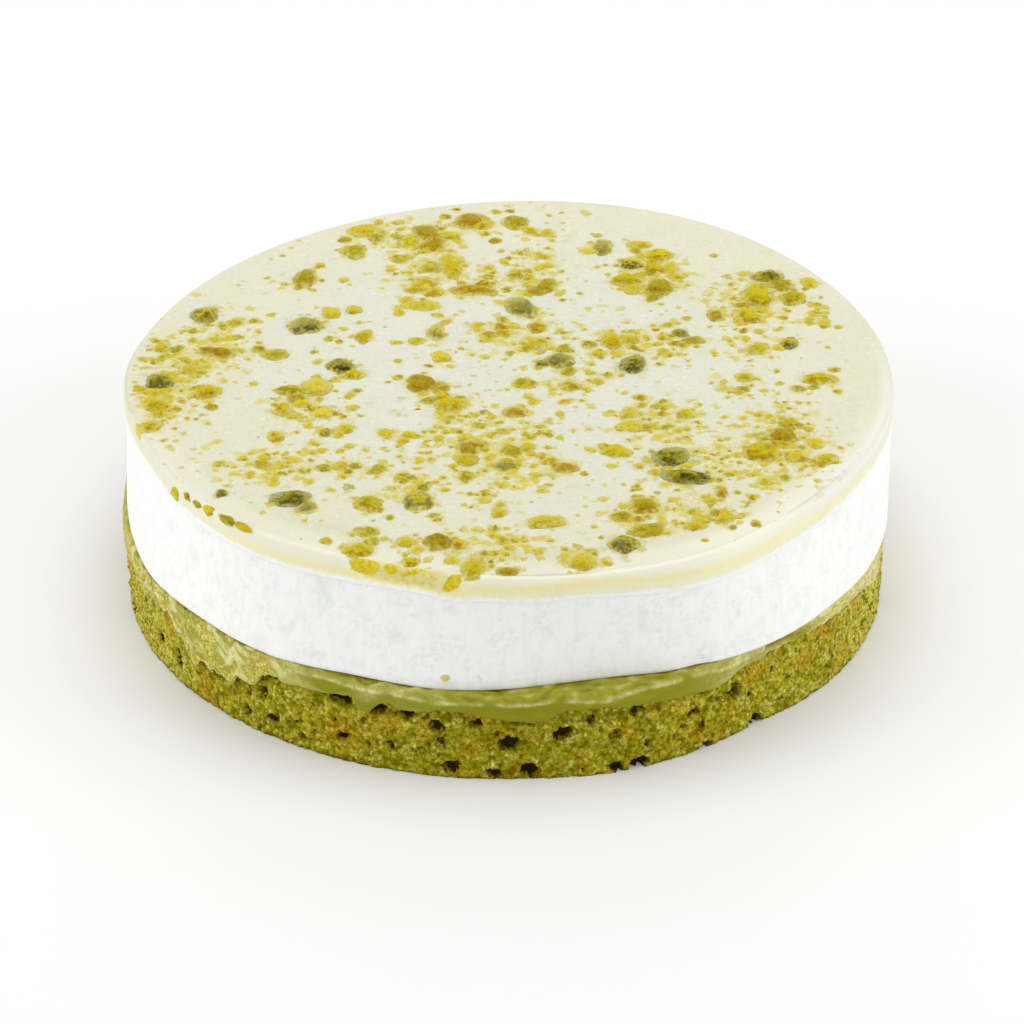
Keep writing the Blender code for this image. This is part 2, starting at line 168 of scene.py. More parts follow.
CREST_LINE = (
    (-175, 18.6), (-155, 18.2), (-140, 17.4), (-130, 18.2), (-121, 18.6), (-116, 18.9), (-110, 18.5),
    (-106, 19.0), (-103, 18.6), (-100, 17.9), (-95, 18.2), (-87, 18.3), (-83.5, 18.9), (-80, 18.6),
    (-76, 18.2), (-73, 18.8), (-69, 19.2), (-64, 19.2), (-61, 18.6), (-58, 17.6), (-54, 17.9),
    (-50, 17.6), (-46, 18.6), (-30, 18.4), (-5, 18.6),
)
LIP_RIPPLE = 0.7 * MM
LIP_RIPPLES = 9.0
# Where the lip is torn and smeared over the sponge, and where it looks so: where that starts, is full,
# starts to fade, and ends.
SMEAR_TORN = (-160.0, -150.0, -128.0, -120.0)
SMEAR_SHOWN = (-178.0, -160.0, -128.0, -118.0)
TEAR_GRAIN = 1.5 * MM
LONG_TEAR = 3.4 * MM
LONG_TEAR_GRAIN = 4.0 * MM
# Where the cream is missing, and where it is thin.
GAP = (-47.4, 2.2)
GAP_DEPTH = 1.6
THIN = (-46.0, -43.0, -26.0, -22.0)
THIN_DEPTH = 0.3
LIP_THICKNESS = 0.5 * MM
LIP_ROUND = 0.2 * MM
CREAM_OVERHANG = 0.2 * MM
CREAM_BELLY = 0.1 * MM
RIDGE_DROP = 1.4 * MM
RIDGE_INSET = 0.6 * MM
CREAM_UNDER_WHITE = 2.5 * MM
CREAM_BULGES = ((-92, 38, 0.8), (0, 16, -0.3), (-138, 8, 0.5), (-21, 5, 0.6), (60, 30, 0.6), (140, 25, 0.5))
# Where it is paler: direction, half width, and how strongly.
PALE_CREAM = ((-118, 16, 0.45), (-54, 7, 0.55), (-30, 18, 0.95))
# And where sponge crumbs stick to it: direction and half width.
CRUMBY = (-26, 20)
RIDGE_LIFTS = ((-67, 7, 1.0), (-88, 6, 0.4), (85, 10, 0.8), (140, 9, 0.9))
# Its folds, ripples and strands: width along the side, and height.
SWIRL = (11.0 * MM, 4.0 * MM)
RIPPLE = (2.6 * MM, 1.4 * MM)
STRAND = (7.0 * MM, 1.5 * MM)
STRAND_RISE = 0.35 * MM
STRAND_SWING = 2.2 * MM
CREAM_COLUMNS = 1130
CREAM_ROWS = 40

# The white layer's side: in from the outline and up from its foot in mm, and share of the way
# from the foot's outline to the glaze's.
WHITE_SECTION = (
    (1.6, 0.0, 0.0), (0.12, 0.0, 0.0), (0.0, 0.35, 0.01), (0.0, 1.6, 0.05), (0.1, 7.5, 0.4),
    (0.2, 14.5, 0.8),
)
WHITE_INSET = 0.2 * MM
# The relief of its foam.
FOAM_SWELL = 0.13 * MM
FOAM_STREAK = 0.05 * MM
PIT_DEPTH = 0.22 * MM
DENT_DEPTH = 0.12 * MM
WHITE_COLUMNS = 1130
WHITE_ROWS = 44
# Small tucks and sags in its foot.
FOOT_WAVES = (
    (-62, 2.5, 0.5), (-66, 3, -0.2), (-75, 5, 0.1), (-124, 2.5, -0.2), (-112, 5, 0.3), (-99, 6, -0.25),
    (-20, 3, 0.4), (40, 4, 0.5), (160, 3, 0.5),
)
# Faint stains of cream and oil in it, and the last a painted shadow along the front of its foot: direction,
# height, half width and half height in mm.
WHITE_STAINS_AND_SHADOW = ((-61, 22.4, 2.2, 3.2), (-118, 37.5, 1.4, 3.0), (-96, 21.0, 9.0, 1.0))
# A crumb of pistachio in the white layer's side: direction, height, half width and half height in mm.
WHITE_SPECK = (-98.4, 22.6, 1.1, 0.8)

# The glaze's edge, from its flat top over the rim and down: in from its outline, and height.
GLAZE_RIM = (
    (2.2, 46.0), (1.55, 46.0), (1.15, 45.84), (0.8, 46.0), (0.45, 46.0), (0.15, 45.75), (0.0, 45.1),
    (0.0, 44.0),
)
GLAZE_RIM_ROWS = 13
# How far its top sags towards the rim in front.
RIM_SAGS = ((-106, 36, 1.5), (-80, 12, 0.4))
SAG_REACH = 9.0 * MM
# Where the rim has a groove with painted shade, where its crest has a painted highlight, and where nut oil
# tints
# its side: direction and half width. And where chalky foam shows on it: direction, half width, and how
# strongly.
GROOVED = (-66, 32)
CRESTED = (-85, 66)
SOAKED = (-105, 6)
CHALKY = ((-22, 26, 1.0), (-150, 15, 0.3))
# How far the glaze's yellow runs down past the seam, into the white.
BORDER_WAVES = (
    (-104, 13, -1.7), (-122, 9, -0.6), (-88, 6, -0.9), (-98.5, 3, -0.8), (-40, 8, -0.7), (-149, 5, -0.9),
)
BORDER_DROP = 0.1 * MM
SKIRT_GAP = 0.10 * MM
SKIRT_BELOW = 1.0 * MM
GLAZE_CELLS = 262
GLAZE_ROWS = 26
# Where the glaze's side is a clearer yellow, and where whiter: direction, half width, and how much in
# thousandths.
BAND_WAVES = (
    (-104, 5, 260), (-107, 12, 180), (-85, 14, 120), (-165, 22, -350), (-144, 12, -360), (-10, 25, -300),
    (-52, 14, 60), (60, 30, 100), (150, 20, -100),
)
BAND_STRENGTH = 0.60
# The swell of its top, and where that yellows towards the rim.
TOP_SWELL = 0.05 * MM
TOP_SWELL_GRAIN = 17.0 * MM
YELLOWED = (30.0 * MM, 74.0 * MM)
# How far in from its outline each part of the rim reaches: where it starts to show, and where it is full.
SIDE_REACH = (1.6 * MM, 0.6 * MM)
CREST_REACH = (1.5 * MM, 0.75 * MM)
SHOULDER_REACH = (7.5 * MM, 4.0 * MM)
CHALK_REACH = (3.6 * MM, 1.4 * MM)
GROOVE_INSET = 1.15 * MM
GROOVE_WIDTH = 0.28 * MM
# How high over the border each part of the side starts to show, and is full.
FADED = (1.1 * MM, -0.9 * MM)
HIGH = (2.6 * MM, 3.8 * MM)
SOAK_START = (0.2 * MM, 1.4 * MM)

# Broken pistachios on the glaze. The big ones: place, then size across and deep, in mm.
LARGE_PIECES = (
    (3.5, 28, 6, 8.5), (-7, 36, 9, 5), (32.5, -34.5, 6.5, 6.5), (36, -42, 8, 4),
    (-63.5, 24.5, 5, 6.5), (-60, 8.5, 7.5, 3.5), (-42, 20, 7, 6), (-34, 2.5, 5, 4.5),
    (-31, -1, 4, 3), (26, 3.5, 4.5, 7.5), (11, 5, 4.5, 6), (21, 56, 4, 6),
    (27, 47.5, 4, 3), (56, 42, 6, 4), (59, 38, 4, 5), (54, 33, 5, 8),
    (61, 32.5, 4, 5), (51, 24.5, 5, 6), (64.5, -2.5, 5.5, 5.5), (51, -32, 6, 7),
    (55.5, -26, 5, 5), (22, 13.5, 4, 5.5), (33, 52, 5, 5), (31.5, 46, 4.5, 4),
    (26, 40.5, 6, 4), (33, 37, 5, 5), (8.7, 38, 3.5, 5), (-12, 47, 4.5, 10),
    (-16, 57, 5, 6), (-17, 63, 4.5, 6), (-8, 68, 7, 6), (2, 67.5, 4.5, 5.5),
    (-31, 63.5, 5.5, 4.5), (-33, 53.5, 5, 6), (-43, 41, 4, 8), (-17.5, 29, 6, 4),
    (-43.5, -7.5, 6, 3.5), (-61, -8, 5, 4), (-70.5, -4, 5, 5), (-17.5, -4.5, 5, 6.5),
    (-11, -13, 5.5, 5), (-7, -31, 5, 5), (1.5, -31.5, 4.5, 4.5), (22, -32, 5, 4),
    (-42, -50.5, 6, 5), (-26.5, -52, 4.5, 5), (-17, -51, 5, 6), (-28, -67.6, 5, 3.4),
    (-12.5, -66, 5, 4), (27, -53, 5, 5), (28, -62, 8, 5), (22.5, -67, 5, 4.5),
    (14.5, -72, 5.5, 4), (8, -59, 6, 4), (-70.5, -14, 5, 4),
)
# Their colours, one letter each.
LARGE_KINDS = "sbnkn" "bssgn" "ssnno" "goggg" "bgggg" "oogbo" "bogoo" "pognb" "gbogn" "osgbo" "osppg"
NUT_COLOURS = {
    "g": "gold", "o": "olive", "p": "pale", "b": "brown", "n": "green", "s": "slate", "k": "black",
    "v": "film_and_sheen", "e": "edge", "h": "haze",
}
# The second colours that a piece of each colour may have.
SECOND_KINDS = {"g": "bop", "o": "gb", "p": "g", "b": "go", "n": "og", "s": "og", "k": "go"}
# Middling ones: place, size across and deep in mm, and colour.
MEDIUM_PIECES = (
    (7.5, 3.7, 2.5, 2.5, "n"), (56.5, -21, 3, 3, "o"), (62, -29, 3, 3, "g"), (58, -34, 4, 4, "g"),
    (63.5, -35, 4, 3.5, "g"), (26, 14, 3.5, 3.5, "g"), (39, 13.5, 4, 3, "o"), (36.5, 16.5, 3.5, 3, "n"),
    (59, 12.5, 3, 4, "n"), (44.5, 24.5, 3, 4.5, "b"), (50, 29, 3, 2, "b"), (35.5, 46, 3.5, 5, "g"),
    (36.5, 42, 3.5, 3, "g"), (27.5, 36.5, 4, 4, "g"), (31.5, 33.5, 3, 5, "o"), (6.5, 35.5, 4, 3.5, "b"),
    (-21, 58, 4, 5, "g"), (-5, 66, 4, 4, "g"), (-12, 61.5, 4, 3, "g"), (-35, 59.5, 2.5, 3, "o"),
    (-37, 26, 3, 5, "g"), (-32, 27, 2.5, 3, "g"), (-21, 31.5, 3, 3, "g"), (-15.5, 35, 4, 4, "g"),
    (-17.5, 39.5, 4, 4, "g"), (-16, 46, 4, 4, "o"), (-23, 50.5, 4, 4, "o"), (-14.5, 17, 3.5, 6, "s"),
    (-18.5, 13.5, 3, 3, "g"), (-29.5, 15.5, 3, 5, "g"), (-13.5, 6.5, 3.5, 4.5, "g"),
    (-3.5, 16, 3.5, 3.5, "g"), (-1, 19, 3, 4, "b"), (6.5, 19.5, 3, 4, "b"), (7, 12.5, 4, 4, "g"),
    (12.5, 9.5, 3, 2, "o"), (-48, 7.5, 4.5, 4, "o"), (-38.5, -6, 5, 6, "p"), (-71, -8, 5, 3, "g"),
    (-72, -12, 4, 3, "g"), (-71.5, -22, 4, 4, "g"), (-46, -26, 3, 4, "g"), (-36, -24.5, 3, 3, "s"),
    (-32, -23, 3, 3, "g"), (-37, -17, 3.5, 4, "p"), (-13.5, -6.5, 3, 4, "b"), (-15.5, -11.5, 4, 2.5, "o"),
    (2, -16.5, 4.5, 4, "b"), (-8, -35, 4, 5, "g"), (0.5, -38, 4.5, 3.5, "s"), (12, -38.5, 4.5, 4, "b"),
    (25, -17, 3, 4, "g"), (25, -22, 4.5, 4, "p"), (13.5, -6, 4.5, 3, "b"), (4, -4.5, 5, 4, "o"),
    (-38.5, -54, 4, 4, "s"), (-26.5, -62.5, 4, 3, "o"), (-6, -74, 4, 5, "g"), (0.5, -75, 4, 2, "o"),
    (-1.2, -55.5, 3, 3, "g"), (22.5, -57, 4, 3, "o"), (36.5, -60.5, 4, 2.5, "g"), (42.5, -57, 3, 5, "g"),
    (65, 39, 3, 4, "g"), (-55.5, -48, 2, 2.4, "n"), (-18, -71.5, 3, 2.4, "g"), (-19, -66, 2.8, 2.4, "g"),
    (-24, -24.5, 3, 2.6, "g"), (-19.5, -25.5, 3, 2.4, "g"), (29, 57, 5, 3, "g"), (18, 54, 3, 2.5, "p"),
    (53, 11, 3, 3, "p"), (49, -2, 3.5, 4, "g"),
)
# A chain of them that clings to the rim: direction, height, size along it and up in mm, and colour.
RIM_PIECES = (
    (-147.2, 42.7, 3.6, 3.2, "g"), (-143.3, 44.8, 2.8, 1.6, "b"), (-140.6, 45, 3, 1.3, "o"),
    (-137.9, 45.3, 3.2, 1.8, "g"), (-134, 45.9, 4.2, 1.6, "o"), (-130.8, 46, 4.8, 1.7, "g"),
)
# The drifts of smaller ones: middle, half spread across and deep in mm, and how many are large.
DRIFTS = (
    (0, -31, 13, 19, 6), (-16, 56, 6, 9, 2), (7, 50, 6, 11, 4), (52, 33, 10, 11, 2),
    (55, -26, 9, 17, 4), (39, -39, 11, 10, 3), (33, -20, 9, 10, 3), (28, 13, 11, 9, 3),
    (51, 11, 7, 6, 2), (33, -55, 12, 5, 2), (-31, -39, 6, 6, 3), (-68, -3, 8, 20, 4),
    (-12, -14, 5, 6, 1), (15, -4, 6, 4, 2), (-38, -18, 8, 9, 3), (-60, 12, 7, 12, 2),
    (-18, 42, 6, 8, 2), (0, 42, 8, 6, 2), (31, 42, 7, 9, 1), (-18, -44, 5, 6, 2),
    (-3, -68, 12, 6, 2), (-47, -38, 10, 6, 2), (-25, 61, 7, 6, 1), (2, 15, 12, 9, 3),
)
# Drifts of crumbs alone.
FINE_DRIFTS = ((46, -6, 7, 5, 0), (-20, -30, 9, 6, 0), (66, 24, 4, 6, 0))
DRIFT_SEED = 5
DRIFT_SIZE = (2.2, 3.6)
DRIFT_SHAPE = (0.7, 1.1)
DRIFT_KINDS = "ggggggoopb"
EDGE_MARGIN = 4.5
SHAPE_SEED = 8
TINT_SEED = 77
# The smaller ones: piece, how many, smallest and largest size in mm, and detail.
BIT_SIZES = (("pistachio_bits", 480, 1.4, 2.9, 3), ("pistachio_crumbs", 650, 0.8, 1.6, 2))
BIT_PLACE_SEED = 19
BIT_SHAPE_SEED = 20
BIT_KINDS = "gggggggggooppp"
BIT_TALLEST = 0.7 * MM
# How they are scattered: share that lie alone, share beside the big ones, spread over the drifts, and the
# margin that they keep from the rim, in mm.
ALONE = 0.06
BESIDE = 0.24
SPREAD = 0.60
BIT_MARGIN = 2.8
# None lies alone past this line at the back right, where x + y / 2 reaches it, in mm.
BARE_FROM = 55.0
# The fine crumbs end there too, near the rim: from where to where x + y / 2 and the way out reach.
CLEAN_PAST = (50.0 * MM, 62.0 * MM)
CLEAN_OUT = (66.0 * MM, 72.0 * MM)
# The fine crumbs in the glaze's material, as dots: how far apart, and how wide the widest, as a share.
DRIFT_DOTS = ((3.2 * MM, 0.40), (1.7 * MM, 0.42))
# Stains of pistachio sunk in the glaze: how many, half width in mm, and strength. And the strength of the
# ring round every piece.
STAIN_SEED = 63
STAINS = 800
STAIN_REACH = (0.6, 1.7)
STAIN_KINDS = "ggggggoppp"
STAIN_STRENGTH = (0.25, 0.8)
RING_STRENGTH = 0.75
# Pieces cut flush in the glaze's side: direction, height, half size along and up in mm, and how
# much they lean over and rise to the right.
CUT_PIECES = (
    (-111.4, 44.5, 3.1, 2.8, 0.0, 0.0), (-107.5, 44.5, 1.25, 1.8, 0.0, 0.0),
    (-104.2, 43.9, 2.4, 0.5, 0.0, 0.4), (-98.4, 42.6, 1.5, 1.9, 0.45, 0.0),
    (-95.6, 44.0, 1.6, 0.35, 0.0, 0.2), (-163.0, 45.0, 2.2, 1.4, 0.0, 0.0),
)
# How high the solid's pieces stand out of the glaze, how thick they are, how far they are turned in
# radians, how rough their outlines are, and how many corners are pushed in or out.
PIECE_STANDS = (0.6 * MM, 1.3 * MM)
PIECE_STANDS_SHARE = 0.3
PIECE_THICKNESS = 2.4 * MM
PIECE_THICKNESS_SHARE = 0.55
PIECE_TURN = 0.3
PIECE_ROUGHNESS = (0.85, 1.12)
PIECE_CORNERS = 12
# The middling and the clinging ones are this thick, in mm.
MEDIUM_THICKNESS = 1.3
RIM_PIECE_THICKNESS = 1.8
# How high up each kind of piece the glaze clings.
LARGE_CLINGS = 0.5 * MM
DRIFT_CLINGS = 0.4 * MM
MEDIUM_CLINGS = 0.3 * MM
BIT_CLINGS = 0.2 * MM

# Colours between the main ones.
MOIST_CRUMB = (0.24, 0.215, 0.003)
# Painted shade in the gaps between the sponge's grains, puffs and clumps, and round its pores.
GRAIN_GAP_SHADE = (0.16, 0.13, 0.002)
PUFF_GAP_SHADE = (0.12, 0.095, 0.001)
CLUMP_GAP_SHADE = (0.13, 0.10, 0.001)
PORE_EDGE_SHADE = (0.15, 0.105, 0.002)
CREAM_STREAK = (0.32, 0.305, 0.010)
SMEARED_CRUMB = (0.36, 0.31, 0.008)
SMEARED_PALE = (0.72, 0.66, 0.17)
SMEARED_TOAST = (0.46, 0.26, 0.006)
OIL = (0.70, 0.63, 0.24)
NUT_MOTTLE = (0.64, 0.50, 0.25)

# Soft square lights: name, width, setting that gives the power, and place, in metres.
LIGHTS = (
    ("overhead", 0.7, "overhead", (0.0, 0.05, 0.8)),
    ("left", 0.5, "sides", (-0.7, -0.15, 0.35)),
    ("right", 0.5, "sides", (0.7, -0.15, 0.35)),
    ("behind", 0.6, "back", (0.0, 0.75, 0.5)),
)
LIT_SPOT = (0.0, 0.0, 0.02)
FLOOR_WIDTH = 6.0
FLOOR_GAP = 0.05 * MM

# The camera.
LENS = 140.6
SENSOR = 36.0
AIM = Vector((0.00134, 0.0, 0.0125))
DISTANCE = 0.8394
ELEVATION = math.radians(31.2)


# ---------------------------------------------------------------- settings


def colour(name, default, description):
    """A colour that can be changed, as a property."""
    return bpy.props.FloatVectorProperty(
        name=name, description=description, default=default, size=3, min=0.0, max=1.0, subtype="COLOR"
    )


def number(name, default, description, **options):
    """A number that can be changed, as a property."""
    return bpy.props.FloatProperty(name=name, description=description, default=default, **options)


class SpongeSettings(bpy.types.PropertyGroup):
    """Colours and crumb of the sponge."""

    crumb: colour("Crumb", (0.43, 0.375, 0.010), "Main colour of the crumb")
    deep: colour("Deep crumb", (0.30, 0.27, 0.004), "Colour of its moister parts")
    # Also the colour of the painted highlights on the puffs.
    pale_crumb_and_highlight: colour("Pale crumb", (0.74, 0.69, 0.14), "Colour of the dry, pale grains")
    toasted: colour("Toasted", (0.60, 0.275, 0.005), "Colour of the toasted patches")
    # Painted shade deep in the pores and holes, just under the cream's lip and along the foot.
    pore: colour("Pore", (0.045, 0.030, 0.001), "Colour deep in the pores")
    grain: number("Grain", 2.3 * MM, "Width of one crumb", min=0.5 * MM, unit="LENGTH")


class CreamSettings(bpy.types.PropertyGroup):
    """Colours of the pistachio cream."""

    cream: colour("Cream", (0.24, 0.233, 0.002), "Main colour of the cream")
    shelf: colour("Shelf", (0.35, 0.335, 0.030), "Colour of its drier top")
    # The painted highlight along the crest of its fold.
    ridge: colour("Ridge", (0.68, 0.65, 0.28), "Colour of its thin, pale crest")
    shade: colour("Shade", (0.15, 0.14, 0.01), "Colour in its folds")


class WhiteSettings(bpy.types.PropertyGroup):
    """Colours of the white layer."""

    foam: colour("Foam", (0.90, 0.905, 0.895), "Main colour of the foam")
    # Also the painted shade in its pits and dents, towards its foot, and along the front of it.
    tint: colour("Tint", (0.70, 0.745, 0.67), "Colour of its faint streaks and pits")


class GlazeSettings(bpy.types.PropertyGroup):
    """Colours of the glaze."""

    middle: colour("Middle", (0.640, 0.648, 0.512), "Colour in the middle of the top")
    rim: colour("Rim", (0.665, 0.645, 0.44), "Colour towards the rim")
    shoulder: colour("Shoulder", (0.775, 0.755, 0.59), "Colour of the top just inside the rim in front")
    # A painted highlight along its rounded shoulder.
    crest: colour("Crest", (0.865, 0.852, 0.68), "Colour of its rounded shoulder")
    band: colour("Side", (0.86, 0.79, 0.33), "Colour of its cut side")
    halo: colour("Halo", (0.60, 0.64, 0.56), "Colour round the dark pieces")
    chalk: colour("Chalk", (0.80, 0.80, 0.74), "Colour of its chalky edge at the sides")
    # Painted shade in the fine groove inside the rim.
    groove: colour("Groove", (0.50, 0.48, 0.31), "Colour of the fine groove inside the rim")
    cut: colour("Cut pistachio", (0.70, 0.565, 0.004), "Colour of the pieces that are cut flush in its side")


class PistachioSettings(bpy.types.PropertyGroup):
    """Colours of the broken pistachios."""

    gold: colour("Gold", (0.58, 0.475, 0.004), "Colour of most pieces")
    olive: colour("Olive", (0.37, 0.325, 0.006), "Colour of the riper pieces")
    pale: colour("Pale", (0.62, 0.52, 0.04), "Colour of the palest pieces")
    # Also the painted shade on the fronts of the pieces.
    brown: colour("Brown", (0.36, 0.22, 0.002), "Colour of the toasted pieces")
    green: colour("Green", (0.14, 0.13, 0.010), "Colour of the dark green pieces")
    slate: colour("Slate", (0.24, 0.235, 0.08), "Colour of the grey-green pieces")
    # Also the painted shade on the fronts of the dark pieces.
    black: colour("Darkest", (0.06, 0.045, 0.004), "Colour of the darkest pieces")
    # The pale tops of the pieces: a film of glaze with a painted sheen.
    film_and_sheen: colour("Veiled", (0.66, 0.60, 0.24), "Colour of their tops under a film of glaze")
    haze: colour("Haze", (0.44, 0.435, 0.19), "Colour where the dark pieces sink into the glaze")
    edge: colour("Edge", (0.65, 0.59, 0.20), "Colour where they sink into the glaze")


class StudioSettings(bpy.types.PropertyGroup):
    """Light and floor."""

    floor: colour("Floor", (0.90, 0.90, 0.90), "Colour of the floor")
    sky: number("Sky", 0.70, "Strength of the even light from all sides", min=0.0)
    overhead: number("Overhead", 0.85, "Strength of the overhead light", min=0.0, unit="POWER")
    sides: number("Sides", 2.0, "Strength of the lights at the sides", min=0.0, unit="POWER")
    back: number("Back", 1.2, "Strength of the light behind", min=0.0, unit="POWER")


SETTINGS = (
    ("semifreddo_sponge", SpongeSettings),
    ("semifreddo_cream", CreamSettings),
    ("semifreddo_white", WhiteSettings),
    ("semifreddo_glaze", GlazeSettings),
    ("semifreddo_pistachios", PistachioSettings),
    ("semifreddo_studio", StudioSettings),
)


# ---------------------------------------------------------------- outlines


def turn_from(middle, degrees):
    """The turn from one direction to others, between -180 and 180 degrees."""
    return (degrees - middle + 180.0) % 360.0 - 180.0


def stood_out(waves, degrees):
    """How far an uneven outline stands out in every direction, in metres."""
    total = np.zeros_like(degrees, dtype=float)
    for middle, width, height in waves:
        total += height * MM * np.exp(-((turn_from(middle, degrees) / width) ** 2))
    return total


def at(degrees, radius, height, centre=np.zeros(3)):
    """Points by direction, radius and height."""
    angle = np.radians(degrees)
    parts = (radius * np.cos(angle), radius * np.sin(angle), np.broadcast_to(height, angle.shape))
    return np.stack(np.broadcast_arrays(*parts), axis=-1) + centre


def near_direction(place, degrees):
    """1 near a direction and 0 away from it, by (direction, half width)."""
    middle, width = place
    return np.exp(-((turn_from(middle, degrees) / width) ** 4))


def strongest(places, degrees):
    """The most that any of some directions calls for, by (direction, half width, strength)."""
    return np.max([strength * near_direction(place, degrees) for *place, strength in places], axis=0)


def soft_step(low, high, values):
    """0 under low, 1 over high, and a smooth rise between. With low over high, it falls."""
    share = np.clip((values - low) / (high - low), 0.0, 1.0)
    return share * share * (3.0 - 2.0 * share)


def along_stretch(stretch, degrees):
    """1 along a stretch of directions, by where it starts, is full, starts to fade, and ends."""
    start, full, fading, end = stretch
    return soft_step(start, full, degrees) * soft_step(end, fading, degrees)


def from_patch(patch, degrees, height, radius):
    """Distances along and up from the middle of a patch on a side, as shares of its own.

    A patch is given by its direction, then its height, half width and half height in mm.
    """
    middle, level, wide, tall = patch
    along = np.radians(turn_from(middle, degrees)) * radius / (wide * MM)
    return along, (height - level * MM) / (tall * MM)


def from_place(spots, x, y, across, deep):
    """Distance from a place on the top, as a share of its spread across and deep. All are in mm."""
    return np.hypot((spots[:, 0] - x * MM) / (across * MM), (spots[:, 1] - y * MM) / (deep * MM))


def sponge_radius(degrees):
    """The sponge's outline."""
    return SPONGE_RADIUS + stood_out(SPONGE_BULGES, degrees)


def white_foot(degrees):
    """The outline of the white layer's foot."""
    return WHITE_RADIUS + stood_out(WHITE_BULGES, degrees)


def glaze_radius(degrees):
    """The glaze's outline, from its own centre."""
    return GLAZE_RADIUS + stood_out(GLAZE_BULGES, degrees)


def seam_height(degrees):
    """Height of the seam between the white layer and the glaze."""
    return SEAM_HEIGHT + stood_out(SEAM_WAVES, degrees)


def shoulder(height):
    """How far the sponge's side is drawn in near its top."""
    return SHOULDER_INSET * np.clip((height - SHOULDER_START) / SHOULDER_RISE, 0.0, 1.0)


def clouds(spots, size, shift=0.0):
    """Smooth noise between -1 and 1 at every spot, with features about as wide as size."""
    scaled = np.asarray(spots) / size + shift
    return np.array([noise.noise(spot) for spot in scaled.tolist()])


def cells(spots, size, shift=0.0):
    """Distances to the nearest and second nearest of random points that lie about size apart."""
    scaled = np.asarray(spots) / size + shift
    return np.array([noise.voronoi(spot)[0][:2] for spot in scaled.tolist()]).T


# ---------------------------------------------------------------- meshes


def begin():
    """Leave nothing selected."""
    bpy.ops.object.select_all(action="DESELECT")


def taken(name):
    """Name the object that was just added."""
    piece = bpy.context.active_object
    piece.name = name
    piece.data.name = name
    return piece


def corners(mesh):
    """The corners of a mesh, one row each."""
    spots = np.empty(3 * len(mesh.vertices), dtype=np.float32)
    mesh.vertices.foreach_get("co", spots)
    return spots.reshape(-1, 3).astype(float)


def move_corners(mesh, spots):
    """Put the corners of a mesh in new places."""
    mesh.vertices.foreach_set("co", spots.astype(np.float32).ravel())
    mesh.update()


def cut_rows(piece, rows):
    """Cut the tall edges of a piece into rows."""
    mesh = piece.data
    bpy.ops.object.mode_set(mode="EDIT")
    bpy.ops.mesh.select_mode(type="EDGE")
    bpy.ops.mesh.select_all(action="DESELECT")
    bpy.ops.object.mode_set(mode="OBJECT")
    ends = np.empty(2 * len(mesh.edges), dtype=np.int32)
    mesh.edges.foreach_get("vertices", ends)
    heights = corners(mesh)[:, 2]
    first, second = ends.reshape(-1, 2).T
    mesh.edges.foreach_set("select", np.abs(heights[first] - heights[second]) > 0.5)
    bpy.ops.object.mode_set(mode="EDIT")
    bpy.ops.mesh.subdivide(number_cuts=rows - 1)
    bpy.ops.object.mode_set(mode="OBJECT")


def drum(name, columns, rows):
    """A closed drum, 1 m in radius and height, with its side cut into rows."""
    begin()
    bpy.ops.mesh.primitive_cylinder_add(
        vertices=columns, radius=1.0, depth=1.0, end_fill_type="NGON", location=(0.0, 0.0, 0.5)
    )
    piece = taken(name)
    bpy.ops.object.transform_apply(location=True, rotation=True, scale=True)
    cut_rows(piece, rows)
    return piece


def disc_drum(name, cells_across, rows):
    """A drum whose top is an even net of cells, and whose side goes down 1 m in rows."""
    begin()
    bpy.ops.mesh.primitive_grid_add(x_subdivisions=cells_across, y_subdivisions=cells_across, size=2.0)
    piece = taken(name)
    bpy.ops.object.mode_set(mode="EDIT")
    bpy.ops.mesh.select_mode(type="EDGE")
    bpy.ops.mesh.select_all(action="DESELECT")
    bpy.ops.mesh.select_non_manifold(
        extend=False, use_wire=False, use_boundary=True, use_multi_face=False,
        use_non_contiguous=False, use_verts=False,
    )
    bpy.ops.mesh.extrude_region_move(TRANSFORM_OT_translate={"value": (0.0, 0.0, -1.0)})
    bpy.ops.mesh.edge_face_add()
    bpy.ops.mesh.select_all(action="SELECT")
    bpy.ops.mesh.normals_make_consistent(inside=False)
    bpy.ops.object.mode_set(mode="OBJECT")
    cut_rows(piece, rows)
    spots = corners(piece.data)
    across, deep = spots[:, 0], spots[:, 1]
    wide = np.abs(across) >= np.abs(deep)
    reach = np.where(wide, across, deep)
    ratio = np.where(wide, deep, across) / np.where(reach == 0.0, 1.0, reach)
    spots[:, 0] = reach * np.where(wide, np.cos(ratio * math.pi / 4), np.sin(ratio * math.pi / 4))
    spots[:, 1] = reach * np.where(wide, np.sin(ratio * math.pi / 4), np.cos(ratio * math.pi / 4))
    move_corners(piece.data, spots)
    return piece


def directions(spots):
    """The direction of every spot, in degrees."""
    return np.degrees(np.arctan2(spots[:, 1], spots[:, 0]))


def paint(piece, **layers):
    """Keep numbers, or colours, at every corner of a piece, by name."""
    for name, values in layers.items():
        values = np.asarray(values, dtype=np.float32)
        if values.ndim == 1:
            layer = piece.data.attributes.new(name, "FLOAT", "POINT")
            layer.data.foreach_set("value", values)
        else:
            opaque = np.concatenate((values, np.ones((len(values), 1), np.float32)), axis=1)
            layer = piece.data.attributes.new(name, "FLOAT_COLOR", "POINT")
            layer.data.foreach_set("color", opaque.ravel())


def smooth_sides(piece):
    """Smooth every face but the flat ends."""
    mesh = piece.data
    sides = np.empty(len(mesh.polygons), dtype=np.int32)
    mesh.polygons.foreach_get("loop_total", sides)
    mesh.polygons.foreach_set("use_smooth", sides <= 4)
    mesh.update()


def finish(piece, material, node):
    """Give a piece its material and its body, and hide the solid it stands for."""
    piece.data.materials.clear()
    piece.data.materials.append(material)
    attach(piece, BODY)
    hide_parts(node)


